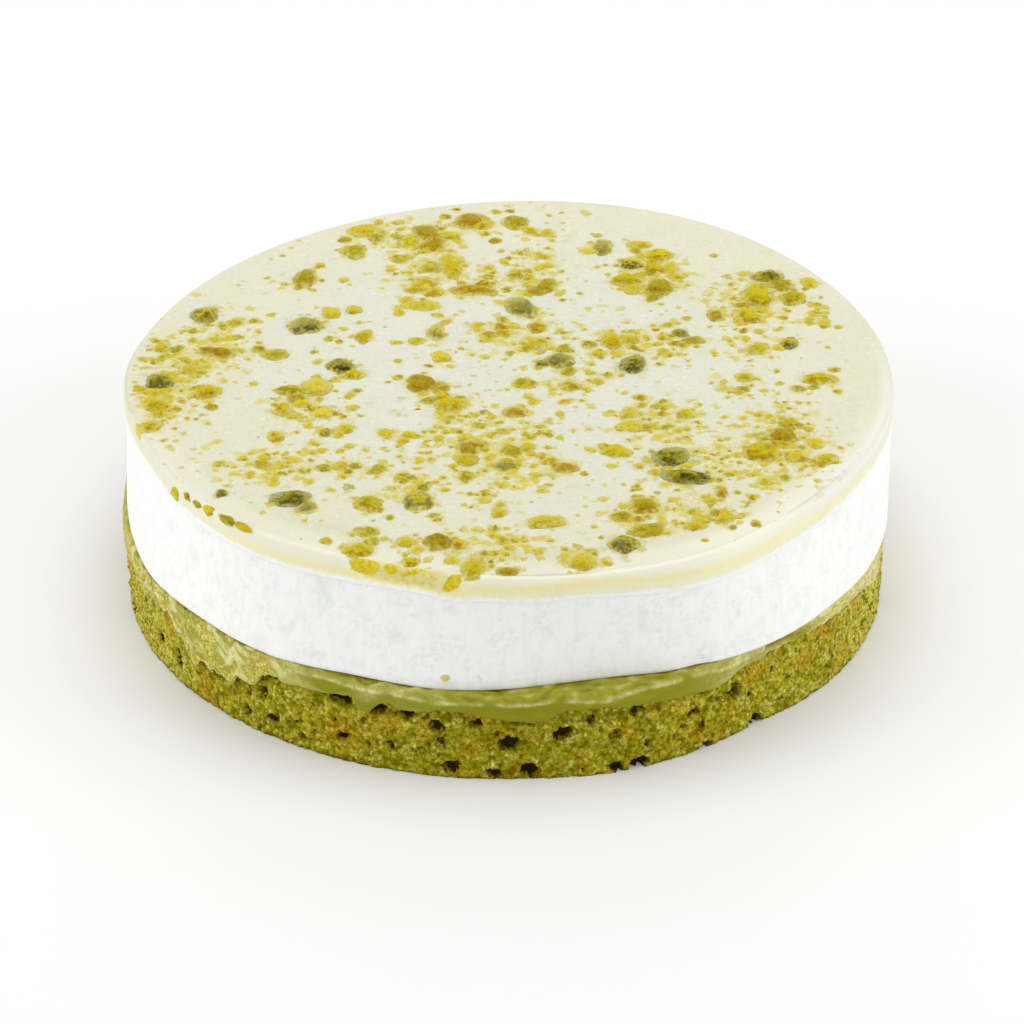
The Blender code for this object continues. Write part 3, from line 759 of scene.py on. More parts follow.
def lump(subdivisions):
    """Corners and faces of a ball 1 m across, to be copied."""
    begin()
    bpy.ops.mesh.primitive_ico_sphere_add(subdivisions=subdivisions, radius=0.5)
    ball = bpy.context.active_object
    spots = corners(ball.data)
    faces = np.array([face.vertices[:] for face in ball.data.polygons])
    mesh = ball.data
    bpy.data.objects.remove(ball)
    bpy.data.meshes.remove(mesh)
    return spots, faces


def heap(name, lumps, faces, **layers):
    """One piece made of many lumps that share the same faces, with numbers kept at their corners."""
    count = len(lumps[0])
    joined = np.concatenate([faces + count * i for i in range(len(lumps))])
    mesh = bpy.data.meshes.new(name)
    mesh.from_pydata(np.concatenate(lumps).tolist(), [], joined.tolist())
    mesh.shade_smooth()
    piece = bpy.data.objects.new(name, mesh)
    bpy.context.scene.collection.objects.link(piece)
    paint(piece, **{layer: np.concatenate(values) for layer, values in layers.items()})
    return piece


# ---------------------------------------------------------------- materials


class Maker:
    """A material under construction: adds nodes that read the piece's own coordinates."""

    def __init__(self, name, **settings):
        self.material = bpy.data.materials.new(name)
        self.material.use_nodes = True
        self.tree = self.material.node_tree
        self.shader = self.tree.nodes["Principled BSDF"]
        self.spot = self.node("TexCoord").outputs["Object"]
        self.shade(**settings)

    def put(self, socket, value):
        """Link a socket to another, or give it a number or a colour."""
        if isinstance(value, bpy.types.NodeSocket):
            self.tree.links.new(value, socket)
        elif socket.type == "RGBA" and len(value) == 3:
            socket.default_value = (*value, 1.0)
        else:
            socket.default_value = value

    def shade(self, **settings):
        """Link or set the shader's sockets by name."""
        for socket, value in settings.items():
            self.put(self.shader.inputs[socket.replace("_", " ")], value)

    def node(self, kind, *values, **settings):
        """A new node: values go to its sockets in order, and settings to modes and sockets by name."""
        made = self.tree.nodes.new("ShaderNode" + kind)
        for name, value in settings.items():
            if name.islower():
                setattr(made, name, value)
            else:
                self.put(made.inputs[name], value)
        for socket, value in zip(made.inputs, values):
            self.put(socket, value)
        return made

    def kept(self, name, output="Color"):
        """A colour that is kept at the piece's corners."""
        return self.node("Attribute", attribute_name=name).outputs[output]

    def number(self, name):
        """A number that is kept at the piece's corners."""
        return self.kept(name, "Fac")

    def stretched(self, scale):
        """The piece's coordinates, stretched."""
        return self.node("Mapping", Vector=self.spot, Scale=scale).outputs["Vector"]

    def clouds(self, size, detail=3.0, rough=0.6, spot=None):
        """Noise with features about as wide as size, in metres."""
        spot = spot or self.spot
        made = self.node("TexNoise", Vector=spot, Scale=1.0 / size, Detail=detail, Roughness=rough)
        return made.outputs["Fac"]

    def dots(self, size, upright=0.0):
        """Random points about size apart, in the level or, upright, in space.

        Gives the distance to the nearest, and three numbers of its own.
        """
        stray = self.node("TexNoise", Vector=self.spot, Scale=2.0 / size).outputs["Color"]
        reach = (0.9 * size, 0.9 * size, 0.9 * size * upright)
        moved = self.node("VectorMath", stray, reach, self.spot, operation="MULTIPLY_ADD").outputs["Vector"]
        space = "3D" if upright else "2D"
        made = self.node("TexVoronoi", voronoi_dimensions=space, Vector=moved, Scale=1.0 / size)
        own = self.node("SeparateColor", made.outputs["Color"])
        return made.outputs["Distance"], own.outputs[:3]

    def span(self, value, low, high, to_low=0.0, to_high=1.0):
        """A number taken from one range to another, smoothly."""
        made = self.node("MapRange", value, low, high, to_low, to_high, interpolation_type="SMOOTHSTEP")
        return made.outputs["Result"]

    def frayed(self, size, by, detail=3.0, rough=0.6):
        """Noise that goes as far below zero as above it, to fray an edge."""
        return self.span(self.clouds(size, detail, rough), 0.25, 0.75, -by, by)

    def math(self, operation, first, second):
        """One number made from two."""
        return self.node("Math", first, second, operation=operation).outputs["Value"]

    def times(self, first, second):
        """Two numbers multiplied."""
        return self.math("MULTIPLY", first, second)

    def plus(self, first, second):
        """Two numbers added."""
        return self.math("ADD", first, second)

    def more(self, first, second):
        """The larger of two numbers."""
        return self.math("MAXIMUM", first, second)

    def mix(self, share, first, second, blend="MIX"):
        """One colour mixed into another."""
        made = self.node("Mix", share, data_type="RGBA", blend_type=blend)
        colours = [socket for socket in made.inputs if socket.type == "RGBA"]
        for socket, value in zip(colours, (first, second)):
            self.put(socket, value)
        return next(socket for socket in made.outputs if socket.type == "RGBA")

    def tinted(self, base, tint, value, low, high, most=1.0):
        """A colour with another mixed in, from none where a number is low to most where it is high."""
        return self.mix(self.span(value, low, high, 0.0, most), base, tint)

    def bump(self, *reliefs):
        """Relief from (height, depth in metres) pairs."""
        normal = None
        for height, depth in reliefs:
            made = self.node("Bump", Height=height, Distance=depth, Strength=1.0)
            if normal is not None:
                self.put(made.inputs["Normal"], normal)
            normal = made.outputs["Normal"]
        self.shade(Normal=normal)

    def soften(self, weight, reach):
        """Let light scatter under the surface, by reach in metres for red, green and blue."""
        self.shade(Subsurface_Weight=weight, Subsurface_Radius=reach, Subsurface_Scale=1.0)

    def done(self, base, roughness=None):
        """The material, once its colour and perhaps its roughness are linked."""
        self.shade(Base_Color=base)
        if roughness is not None:
            self.shade(Roughness=roughness)
        return self.material


def sponge_material(settings):
    """Crumb: olive clumps of grains, toasted patches, dark pores, painted highlights on the puffs, and
    painted shade in the gaps.
    """
    make = Maker("pistachio_sponge", Roughness=0.95, Specular_IOR_Level=0.03)
    grain = make.clouds(0.45 * MM, 2.0, 0.6)
    fine = make.times(make.clouds(1.0 * MM, 3.0, 0.6), 0.55)
    clump = make.times(make.clouds(2.8 * MM, 3.0, 0.55), 0.6)
    level = make.plus(make.plus(fine, clump), make.times(make.number("pale"), 0.25))
    away, (tone, hue, _) = make.dots(0.95 * MM, 1.0)
    puff = make.span(away, 0.72, 0.22)
    base = make.tinted(settings.crumb, settings.deep, make.clouds(4.0 * MM), 0.38, 0.62)
    base = make.tinted(base, MOIST_CRUMB, hue, 0.45, 1.0, 0.8)
    # Pale grains where the crumb stands high, and lit, a painted highlight on the tops of the puffs.
    pale = make.times(make.span(grain, 0.36, 0.62, 0.15, 1.0), make.span(level, 0.62, 0.94))
    lit = make.times(make.times(puff, make.span(tone, 0.35, 0.95)), make.span(level, 0.5, 0.8, 0.3, 0.9))
    base = make.mix(make.more(pale, lit), base, settings.pale_crumb_and_highlight)
    toast = make.times(make.number("toast"), make.span(make.clouds(0.45 * MM), 0.45, 0.52))
    base = make.mix(toast, base, settings.toasted)
    # Painted shade in the gaps between grains, puffs and clumps, then round and in the pores.
    base = make.tinted(base, GRAIN_GAP_SHADE, grain, 0.46, 0.30, 0.6)
    base = make.tinted(base, PUFF_GAP_SHADE, away, 0.52, 0.86, 0.75)
    base = make.tinted(base, CLUMP_GAP_SHADE, level, 0.62, 0.42, 0.8)
    ragged = make.plus(make.number("open"), make.frayed(0.8 * MM, 0.42, 4.0, 0.7))
    base = make.tinted(base, PORE_EDGE_SHADE, ragged, 0.08, 0.50, 0.75)
    base = make.tinted(base, settings.pore, ragged, 0.52, 0.66)
    make.bump((grain, 0.14 * MM), (fine, 0.22 * MM), (puff, 0.14 * MM))
    return make.done(base)


def cream_material(settings):
    """Cream: a plain olive face, a greyer top, and a thin crest between them with a painted highlight, and
    painted shade in its folds.
    """
    make = Maker("pistachio_cream", Roughness=0.42, Specular_IOR_Level=0.14)
    streaks = make.clouds(2.0 * MM, 3.0, 0.55, make.stretched((0.4, 0.4, 2.0)))
    base = make.tinted(settings.cream, CREAM_STREAK, streaks, 0.35, 0.65, 0.45)
    top = make.times(make.number("shelf"), make.span(make.clouds(1.3 * MM), 0.36, 0.60, 0.45, 1.0))
    base = make.mix(top, base, settings.shelf)
    # Painted shade under the white layer and in the troughs of the ripples.
    base = make.mix(make.number("fold"), base, settings.shade)
    # A painted highlight along the crest and on the ripples' tops, a pale line along the lip, and paler
    # strands and places.
    pale = make.times(make.number("pale"), make.span(make.clouds(1.2 * MM), 0.36, 0.58, 0.45, 1.0))
    base = make.mix(pale, base, settings.ridge)
    torn = make.times(make.number("smeared"), make.span(make.clouds(1.6 * MM, 3.0, 0.65), 0.40, 0.50))
    crumb = make.tinted(SMEARED_CRUMB, SMEARED_PALE, make.clouds(0.5 * MM), 0.40, 0.62)
    crumb = make.tinted(crumb, SMEARED_TOAST, make.clouds(2.2 * MM, 2.0), 0.56, 0.64, 0.7)
    base = make.mix(torn, base, crumb)
    make.bump((streaks, 0.10 * MM), (make.clouds(0.6 * MM), 0.06 * MM))
    make.soften(0.12, (1.0 * MM, 0.9 * MM, 0.2 * MM))
    return make.done(base, make.span(make.clouds(3.0 * MM), 0.3, 0.7, 0.34, 0.5))


def white_material(settings, nut):
    """Frozen foam: white, with faint upright streaks, painted shade in its pits and dents, and a crumb of
    pistachio.
    """
    make = Maker("white_semifreddo", Roughness=0.62, Specular_IOR_Level=0.35)
    streaks = make.clouds(1.2 * MM, 3.0, 0.6, make.stretched((1.0, 1.0, 0.16)))
    base = make.tinted(settings.foam, settings.tint, streaks, 0.45, 0.75, 0.25)
    mottle = make.times(*(make.span(make.clouds(size), 0.42, 0.62) for size in (5.0 * MM, 0.9 * MM)))
    base = make.mix(make.times(mottle, 0.4), base, settings.tint)
    base = make.mix(make.number("tint"), base, settings.tint)
    speck = make.plus(make.number("speck"), make.span(make.clouds(0.7 * MM), 0.2, 0.8, -0.25, 0.25))
    base = make.tinted(base, nut, speck, 0.25, 0.85, 0.8)
    make.bump((streaks, 0.07 * MM), (make.clouds(0.45 * MM, 2.0, 0.6), 0.035 * MM))
    make.soften(0.3, (1.4 * MM, 1.35 * MM, 1.3 * MM))
    return make.done(base)


def drift_dots(make, nuts, base, sunk):
    """Fine crumbs as dots in the glaze: its colour with them, and how much pistachio shows in all."""
    thick = make.number("drift")
    spread = sunk
    for size, widest in DRIFT_DOTS:
        away, (wide, there, tone) = make.dots(size)
        edge = make.math("SUBTRACT", make.span(wide, 0.0, 1.0, 0.10, widest), away)
        there = make.span(make.math("SUBTRACT", thick, there), -0.01, 0.01)
        dot = make.times(make.span(edge, -0.10, 0.12, 0.0, 0.85), there)
        own = make.tinted(nuts.edge, nuts.gold, tone, 0.15, 0.7)
        spread = make.more(spread, dot)
        base = make.mix(dot, base, make.mix(make.span(tone, 0.93, 0.95), own, nuts.olive))
    return base, spread


def cut_side(make, settings, nuts, base, ragged):
    """The glaze's side: its colour with the yellow band, oil and cut pieces, and where those pieces are."""
    grain = make.frayed(0.8 * MM, 0.25)
    band = make.number("band")
    base = make.mix(make.plus(band, make.times(band, grain)), base, settings.band)
    soak = make.number("soak")
    oily = make.tinted(OIL, nuts.gold, make.clouds(1.0 * MM), 0.42, 0.62, 0.45)
    base = make.mix(make.plus(soak, make.times(soak, ragged)), base, oily)
    cut = make.plus(make.number("cut"), make.times(ragged, 0.2))
    shown = make.tinted(settings.cut, nuts.olive, make.clouds(0.5 * MM), 0.46, 0.60, 0.5)
    cut = make.span(cut, 0.46, 0.56)
    return make.mix(cut, base, shown), cut


def glaze_material(settings, foam, nuts):
    """Set glaze: ivory, yellower at its cut side, with pistachio showing through it."""
    make = Maker("pale_glaze", Coat_Weight=0.1, Coat_Roughness=0.25)
    base = make.mix(make.number("rim"), settings.middle, settings.rim)
    base = make.tinted(base, settings.middle, make.clouds(14.0 * MM), 0.35, 0.65, 0.4)
    base = make.mix(make.number("halo"), base, settings.halo)
    ragged = make.frayed(0.7 * MM, 0.28)
    amount = make.number("stained")
    sunk = make.plus(amount, make.times(make.span(amount, 0.05, 0.4), ragged))
    base = make.tinted(base, make.kept("stain"), sunk, 0.02, 0.98)
    base, spread = drift_dots(make, nuts, base, sunk)
    bare = make.times(make.number("shoulder"), make.span(spread, 0.6, 0.0))
    base = make.mix(bare, base, settings.shoulder)
    spread = make.more(spread, make.number("dull"))
    # The crest's painted highlight, the chalky edge, and the groove's painted shade.
    for part in ("crest", "chalk", "groove"):
        base = make.mix(make.number(part), base, getattr(settings, part))
    base, cut = cut_side(make, settings, nuts, base, ragged)
    spread = make.more(spread, cut)
    fuzzy = make.frayed(1.1 * MM, 0.35, 4.0)
    base = make.tinted(base, foam, make.plus(make.number("fade"), fuzzy), 0.0, 1.0)
    make.bump((make.clouds(6.0 * MM, 1.0), 0.10 * MM), (make.clouds(0.7 * MM), 0.008 * MM))
    make.soften(0.12, (0.9 * MM, 0.85 * MM, 0.5 * MM))
    make.shade(Specular_IOR_Level=make.span(spread, 0.1, 0.8, 0.35, 0.08))
    return make.done(base, make.span(make.clouds(9.0 * MM), 0.3, 0.7, 0.28, 0.42))


def pistachio_material(settings):
    """Broken pistachio: each piece has its own colours, mottled."""
    make = Maker("pistachio", Roughness=0.6, Specular_IOR_Level=0.05)
    mottle = make.clouds(0.55 * MM, 2.0, 0.5)
    base = make.kept("nut")
    base = make.tinted(base, settings.pale, mottle, 0.50, 0.68, 0.22)
    base = make.mix(make.span(mottle, 0.50, 0.34, 0.0, 0.5), base, NUT_MOTTLE, "MULTIPLY")
    make.bump((make.clouds(1.1 * MM, 1.0), 0.12 * MM), (mottle, 0.03 * MM))
    make.soften(0.35, (0.7 * MM, 0.6 * MM, 0.15 * MM))
    return make.done(base)


# ---------------------------------------------------------------- sponge


def pore_list():
    """All pores in the sponge's side: the large ones, and small ones behind."""
    draw = random.Random(PORE_SEED)
    pores = list(LARGE_PORES)
    first, last = PORES_PLACED
    for _ in range(SMALL_PORES):
        width = draw.uniform(*SMALL_PORE_WIDTH)
        direction = draw.uniform(-180.0, 180.0)
        level = draw.uniform(*SMALL_PORE_HEIGHT)
        if not first < direction < last:
            pores.append((direction, level, width, width * PORE_FLATNESS))
    return pores


def pore_depth(degrees, height):
    """Depth of the pores at every spot of the sponge's side, and how far inside one it is."""
    deepest = np.zeros_like(height)
    within = np.zeros_like(height)
    for pore in pore_list():
        width = pore[2]
        along, up = from_patch(pore, degrees, height, SPONGE_RADIUS)
        inside = np.clip(1.0 - 2.4 * (along * along + up * up), 0.0, None)
        deepest = np.maximum(deepest, np.minimum(1.8 * inside, 1.0) * width * MM * PORE_DEPTH)
        within = np.maximum(within, soft_step(0.02, 0.60, inside) * np.clip(width / 2.5, 0.5, 1.0))
    return deepest, within


def sponge_relief(degrees, height, grain):
    """How far the crumb falls back at every spot, how open it is there, and how strong the painted highlight
    on its puffs is.
    """
    spot = at(degrees, SPONGE_RADIUS, height)
    relief = CRUMB_RELIEF * (0.4 + 0.4 * clouds(spot, CRUMB_GRAIN))
    relief += BROAD_RELIEF * (0.4 - 0.4 * clouds(-spot, BROAD_GRAIN))
    stray = STRAY * clouds(spot, STRAY_GRAIN, 31.7)
    rise = STRAY * clouds(spot, STRAY_GRAIN, 57.3)
    wandered = spot + 0.4 * np.stack((stray, -stray, rise), axis=1)
    ragged = stray + 0.5 * MM * clouds(spot, 0.6 * MM, 5.5)
    pores, within = pore_depth(degrees + np.degrees(ragged / SPONGE_RADIUS), height + 0.8 * rise)
    calm = near_direction(CALM, degrees)
    big, _ = cells(wandered, grain)
    small, _ = cells(wandered, SMALL_GRAIN * grain, 11.0)
    bump = (PUFF - CALM_PUFF * calm) * (PUFF_LEVEL - big) + SMALL_PUFF * (PUFF_LEVEL - small)
    patchy = 0.16 * clouds(spot, 7.0 * MM, 3.3) - 0.12 * calm
    holes = soft_step(0.50, 0.62, clouds(wandered, HOLE_GRAIN, 71.0) + patchy)
    nicks = soft_step(0.36, 0.56, clouds(wandered, NICK_GRAIN, 5.0) + patchy)
    fallen = relief * soft_step(-1.0 * MM, 2.2 * MM, height) - bump
    fallen = fallen + pores + HOLE_DEPTH * holes + NICK_DEPTH * nicks
    within = within * (1.0 - 0.6 * calm * soft_step(2.0 * MM, 5.0 * MM, height))
    open_share = np.clip(within + 0.5 * holes + 0.25 * nicks, 0.0, 1.0)
    puff_highlight = np.clip(0.75 * (1.1 - 1.4 * big) + 0.4 * (0.9 - 1.3 * small), 0.0, 1.0)
    return np.maximum(fallen, 0.0), open_share, puff_highlight


def toasted_share(degrees, height):
    """Where the crumb is toasted."""
    spot = at(degrees, SPONGE_RADIUS, height)
    share = soft_step(0.30, 0.5, clouds(spot, 4.5 * MM, 91.0)) * 0.45
    for patch in TOASTED:
        along, up = from_patch(patch, degrees, height, SPONGE_RADIUS)
        share = np.maximum(share, np.exp(-(along**2) - up**2))
    return share * (0.75 + 0.25 * clouds(spot, 2.0 * MM, 17.0))


def make_sponge(settings):
    """The sponge: flat underneath, with a crumbly, open side."""
    piece = drum("sponge", SPONGE_COLUMNS, SPONGE_ROWS)
    spots = corners(piece.data)
    degrees = directions(spots)
    height = spots[:, 2] * SPONGE_TOP
    fallen, open_share, puff_highlight = sponge_relief(degrees, height, settings.grain)
    edge = LOOSE_EDGE * soft_step(0.8 * MM, 0.0, height)
    inset = shoulder(height) + edge + fallen
    move_corners(piece.data, at(degrees, sponge_radius(degrees) - inset, height))
    below_lip = lip_height(degrees) - height
    # Painted shade along the foot and just under the cream's lip, kept with the pores' painted shade.
    shaded = 0.35 * soft_step(1.6 * MM, 0.0, height) + 0.45 * soft_step(1.5 * MM, 0.4 * MM, below_lip)
    paint(piece, open=np.clip(open_share + shaded, 0.0, 1.0))
    paint(piece, toast=toasted_share(degrees, height))
    # Paler with the puffs' painted highlight, and in the paler places.
    paint(piece, pale=(puff_highlight + strongest(PALER_PLACES, degrees)) * (1.0 - open_share))
    smooth_sides(piece)
    return piece


def make_crumbs(settings):
    """Loose crumbs that stick to the sponge's side."""
    draw = random.Random(CRUMB_SEED)
    ball, faces = lump(2)
    degrees = np.array([draw.uniform(-180.0, 180.0) for _ in range(CRUMBS)])
    height = np.array([draw.triangular(*CRUMB_HEIGHTS) for _ in range(CRUMBS)]) * MM
    size = np.array([draw.uniform(*CRUMB_SIZES) * draw.uniform(0.6, 1.0) for _ in range(CRUMBS)]) * MM
    height = np.maximum(height, 0.5 * size)
    fallen, open_share, _ = sponge_relief(degrees, height, settings.grain)
    radius = sponge_radius(degrees) - shoulder(height) - np.maximum(fallen, 0.25 * size) - 0.05 * size
    middles = at(degrees, radius, height)
    toast = toasted_share(degrees, height)
    lumps, pale, toasts, opens = [], [], [], []
    for i in np.flatnonzero(open_share < 0.3):
        stretch = np.array([draw.uniform(0.75, 1.25) for _ in range(3)])
        rough = 1.0 + 0.35 * clouds(ball, 0.35, draw.uniform(0.0, 90.0))
        lumps.append(ball * rough[:, None] * stretch * size[i] + middles[i])
        pale.append(np.full(len(ball), draw.choice(CRUMB_PALENESS)))
        toasts.append(np.full(len(ball), toast[i]))
        # A crumb near a pore takes a little of its painted shade.
        opens.append(np.full(len(ball), 0.2 * open_share[i]))
    for spots in lumps:
        spots[:, 2] = np.maximum(spots[:, 2], 0.0)
    return heap("sponge_crumbs", lumps, faces, pale=pale, toast=toasts, open=opens)


# ---------------------------------------------------------------- cream


def line_height(line, degrees, rest):
    """Height along a line of given points, and rest behind the cake."""
    ways, heights = np.array(line).T
    found = np.interp(degrees, ways, heights, left=np.nan, right=np.nan) * MM
    return np.where(np.isnan(found), rest, found)


def lip_height(degrees):
    """Height of the cream's lower edge on the sponge's side."""
    ripple = clouds(at(degrees, LIP_RIPPLES, 1.0), 1.0) * LIP_RIPPLE
    behind = LIP_HEIGHT + stood_out(LIP_DRIPS, degrees) + ripple
    return np.minimum(line_height(LIP_LINE, degrees, behind), LIP_LIMIT)


def cream_section(degrees):
    """Radii and heights of the cream's section, from its underside round the lip to its top."""
    lip = lip_height(degrees)
    bend = np.maximum(lip + 2.0 * LIP_ROUND, SHOULDER_START + SHOULDER_RISE)
    ridge = CREAM_TOP + stood_out(RIDGE_LIFTS, degrees)
    side = sponge_radius(degrees) + LAYER_GAP
    lost = GAP_DEPTH * near_direction(GAP, degrees) + THIN_DEPTH * along_stretch(THIN, degrees)
    outer = sponge_radius(degrees) + CREAM_OVERHANG + stood_out(CREAM_BULGES, degrees) - lost * MM
    edge = np.maximum(outer, side - shoulder(lip) + LIP_THICKNESS)
    crest = np.maximum(outer - RIDGE_INSET, np.minimum(white_foot(degrees) + LAYER_GAP, outer - CREAM_BELLY))
    fold = np.maximum(line_height(CREST_LINE, degrees, ridge - RIDGE_DROP), lip + 0.6 * MM)
    level = np.ones_like(degrees)
    smeared = along_stretch(SMEAR_TORN, degrees)
    ring = at(degrees, SPONGE_RADIUS, 0.0)
    ragged = (0.3 + 1.2 * smeared) * MM * clouds(ring, TEAR_GRAIN, 13.0)
    ragged += LONG_TEAR * smeared * clouds(ring, LONG_TEAR_GRAIN, 43.0)
    points = (
        (side - shoulder(CREAM_UNDER), CREAM_UNDER * level),
        (side - shoulder(bend), bend),
        (side - shoulder(lip), lip + LIP_ROUND + ragged),
        (edge - CREAM_BELLY, lip + ragged),
        (np.maximum(outer + CREAM_BELLY, edge), (lip + fold) / 2.0),
        (outer, fold),
        (crest, np.minimum(ridge, CREAM_TOP + 0.2 * MM)),
        (white_foot(degrees) - CREAM_UNDER_WHITE, WHITE_UNDER * level),
    )
    return np.array([[radius, height] for radius, height in points]).transpose(2, 0, 1)


def evenly(path, count, rounds=3):
    """A path through given points, evenly spaced by its first two numbers, with rounded bends."""
    steps = np.linalg.norm(np.diff(path[:, :2], axis=0), axis=1)
    reached = np.concatenate(([0.0], np.cumsum(steps)))
    wanted = np.linspace(0.0, reached[-1], count)
    spread = np.stack([np.interp(wanted, reached, path[:, i]) for i in range(path.shape[1])], axis=1)
    for _ in range(rounds):
        spread[1:-1] = (spread[:-2] + 2.0 * spread[1:-1] + spread[2:]) / 4.0
    return spread


def by_section(piece, rows, sections):
    """The columns' directions, every corner's column and row, and the table of the columns' sections."""
    spots = corners(piece.data)
    ways, column = np.unique(np.round(directions(spots), 3), return_inverse=True)
    row = np.rint(spots[:, 2] * rows).astype(int)
    return ways, column.reshape(-1), row, sections(ways)


def cream_table(ways):
    """Radius, height, and distances from the lip and the crest, for every column and row of the side."""
    table = []
    for section in cream_section(ways):
        shown = section[2:]
        steps = np.linalg.norm(np.diff(shown, axis=0), axis=1)
        reached = np.linspace(0.0, steps.sum(), CREAM_ROWS - 1)
        spots = np.concatenate((section[:2], evenly(shown, CREAM_ROWS - 1)))
        from_lip = np.concatenate(((0.0, 0.0), reached))
        table.append(np.column_stack((spots, from_lip, from_lip - steps[:3].sum())))
    return np.array(table)


def side_noise(degrees, up, size, shift=0.0):
    """Noise that runs round the side, with features of a given width along it and height."""
    spots = at(degrees, SPONGE_RADIUS, 0.0) / size[0]
    spots[:, 2] = up / size[1]
    return clouds(spots, 1.0, shift)


def make_cream():
    """The cream: a smooth face, a folded top, and a ragged lip over the sponge."""
    piece = drum("cream", CREAM_COLUMNS, CREAM_ROWS)
    ways, column, row, table = by_section(piece, CREAM_ROWS, cream_table)
    tangent = np.gradient(table[:, :, :2], axis=1)
    out = np.stack((tangent[:, :, 1], -tangent[:, :, 0]), axis=2)
    out /= np.maximum(np.linalg.norm(out, axis=2, keepdims=True), 1e-9)
    radius, height, from_lip, past_crest = table[column, row].T
    outward = out[column, row]
    degrees = ways[column]
    shown = np.clip((row - 2) / (CREAM_ROWS - 2), 0.0, 1.0)
    rest = soft_step(0.0, 0.6 * MM, from_lip) * soft_step(1.0, 0.86, shown)
    on_top = soft_step(0.0, 0.5 * MM, past_crest)
    swirl = side_noise(degrees, from_lip, SWIRL)
    ripple = side_noise(degrees, from_lip, RIPPLE, 21.0)
    smeared = along_stretch(SMEAR_SHOWN, degrees)
    slanted = from_lip + STRAND_RISE * degrees + STRAND_SWING * swirl
    strand = side_noise(degrees, slanted, STRAND, 33.0) + 0.4 * ripple
    rippled = (0.06 + 0.22 * on_top) * (1.0 - smeared) * ripple
    relief = rest * MM * (0.25 * swirl + rippled + 0.45 * smeared * strand)
    radius = radius + relief * outward[:, 0]
    height = height + relief * outward[:, 1]
    move_corners(piece.data, at(degrees, radius, height))
    wavy = past_crest + 0.35 * MM * swirl
    # The crest's painted highlight, broken where the ripples dip.
    crest = 0.85 * np.exp(-((wavy / (0.36 * MM)) ** 2)) * soft_step(-0.5, 0.3, ripple)
    lip_edge = 0.75 * np.exp(-(((from_lip - 0.5 * MM) / (0.28 * MM)) ** 2)) * (1.0 - smeared)
    # Painted highlights on the tops of the ripples, paler strands where it is smeared, and paler places.
    flecks = on_top * soft_step(0.15, 0.5, ripple) * 0.4 + smeared * rest * soft_step(0.12, 0.42, strand)
    flecks += strongest(PALE_CREAM, degrees) * rest * soft_step(-0.5, 0.3, swirl)
    paint(piece, pale=np.clip(np.maximum(crest, lip_edge) + flecks, 0.0, 1.0))
    # Painted shade just under the white layer's foot, and in the troughs of the ripples on top.
    under = soft_step(0.84, 0.97, shown) * 0.55 * (1.0 - 0.8 * smeared)
    paint(piece, fold=np.clip(under + 0.5 * on_top * soft_step(-0.15, -0.5, ripple), 0.0, 1.0))
    paint(piece, shelf=np.maximum(on_top, 0.8 * smeared))
    crumby = smeared + 0.7 * near_direction(CRUMBY, degrees) * soft_step(0.3, -0.1, ripple)
    paint(piece, smeared=crumby * soft_step(0.40, 0.0, strand + 0.25 * (from_lip / (4.0 * MM) - 1.0)))
    smooth_sides(piece)
    return piece


# ---------------------------------------------------------------- white layer


def white_table(ways):
    """Inset, height and share towards the glaze's outline for every column and row of the side."""
    table = []
    for seam, lift in zip(seam_height(ways), stood_out(FOOT_WAVES, ways)):
        path = [(inset * MM, WHITE_UNDER + rise * MM, share) for inset, rise, share in WHITE_SECTION]
        path = np.array(path + [(WHITE_INSET, seam, 1.0)])
        path[1, 1] += 0.8 * lift
        path[2, 1] += lift
        table.append(evenly(path, WHITE_ROWS + 1, 1))
    return np.array(table)


def make_white():
    """The white layer: frozen foam with fine upright streaks and small pits."""
    piece = drum("white_layer", WHITE_COLUMNS, WHITE_ROWS)
    ways, column, row, table = by_section(piece, WHITE_ROWS, white_table)
    inset, height, share = table[column, row].T
    degrees = ways[column]
    foot = at(degrees, white_foot(degrees) - inset, height)
    top = at(degrees, glaze_radius(degrees) - inset, height, GLAZE_CENTRE)
    spots = foot + (top - foot) * share[:, None]
    broad = FOAM_SWELL * clouds(spots, 9.0 * MM)
    streak = FOAM_STREAK * clouds(spots * (1.0, 1.0, 0.14), 0.9 * MM)
    nearest, _ = cells(spots * (1.0, 1.0, 0.8), 2.4 * MM, 7.0)
    chosen = soft_step(0.05, 0.25, clouds(spots, 5.0 * MM, 19.0))
    pits = soft_step(0.20, 0.06, nearest) * chosen
    below = seam_height(degrees) - height
    free = soft_step(0.0, 0.10, row / WHITE_ROWS) * soft_step(2.6 * MM, 4.0 * MM, below)
    dents = soft_step(0.25, 0.6, clouds(spots, 3.5 * MM, 43.0))
    pushed = free * (broad + streak - PIT_DEPTH * pits - DENT_DEPTH * dents)
    spots = spots + at(degrees, pushed, 0.0)
    move_corners(piece.data, spots)
    # Painted shade in the pits and dents and towards the foot, then the stains and the painted shadow along
    # the front of the foot.
    tint = 0.7 * pits + 0.3 * dents + 0.2 * soft_step(0.08, 0.0, row / WHITE_ROWS)
    for patch in WHITE_STAINS_AND_SHADOW:
        along, up = from_patch(patch, degrees, height, WHITE_RADIUS)
        tint += np.exp(-(along**2) - up**2) * (0.6 + 0.6 * clouds(spots, 1.8 * MM, 61.0))
    paint(piece, tint=np.clip(tint, 0.0, 1.0))
    speck = np.hypot(*from_patch(WHITE_SPECK, degrees, height, WHITE_RADIUS))
    paint(piece, speck=soft_step(1.5, 0.4, speck))
    smooth_sides(piece)
    return piece


# ---------------------------------------------------------------- pistachios


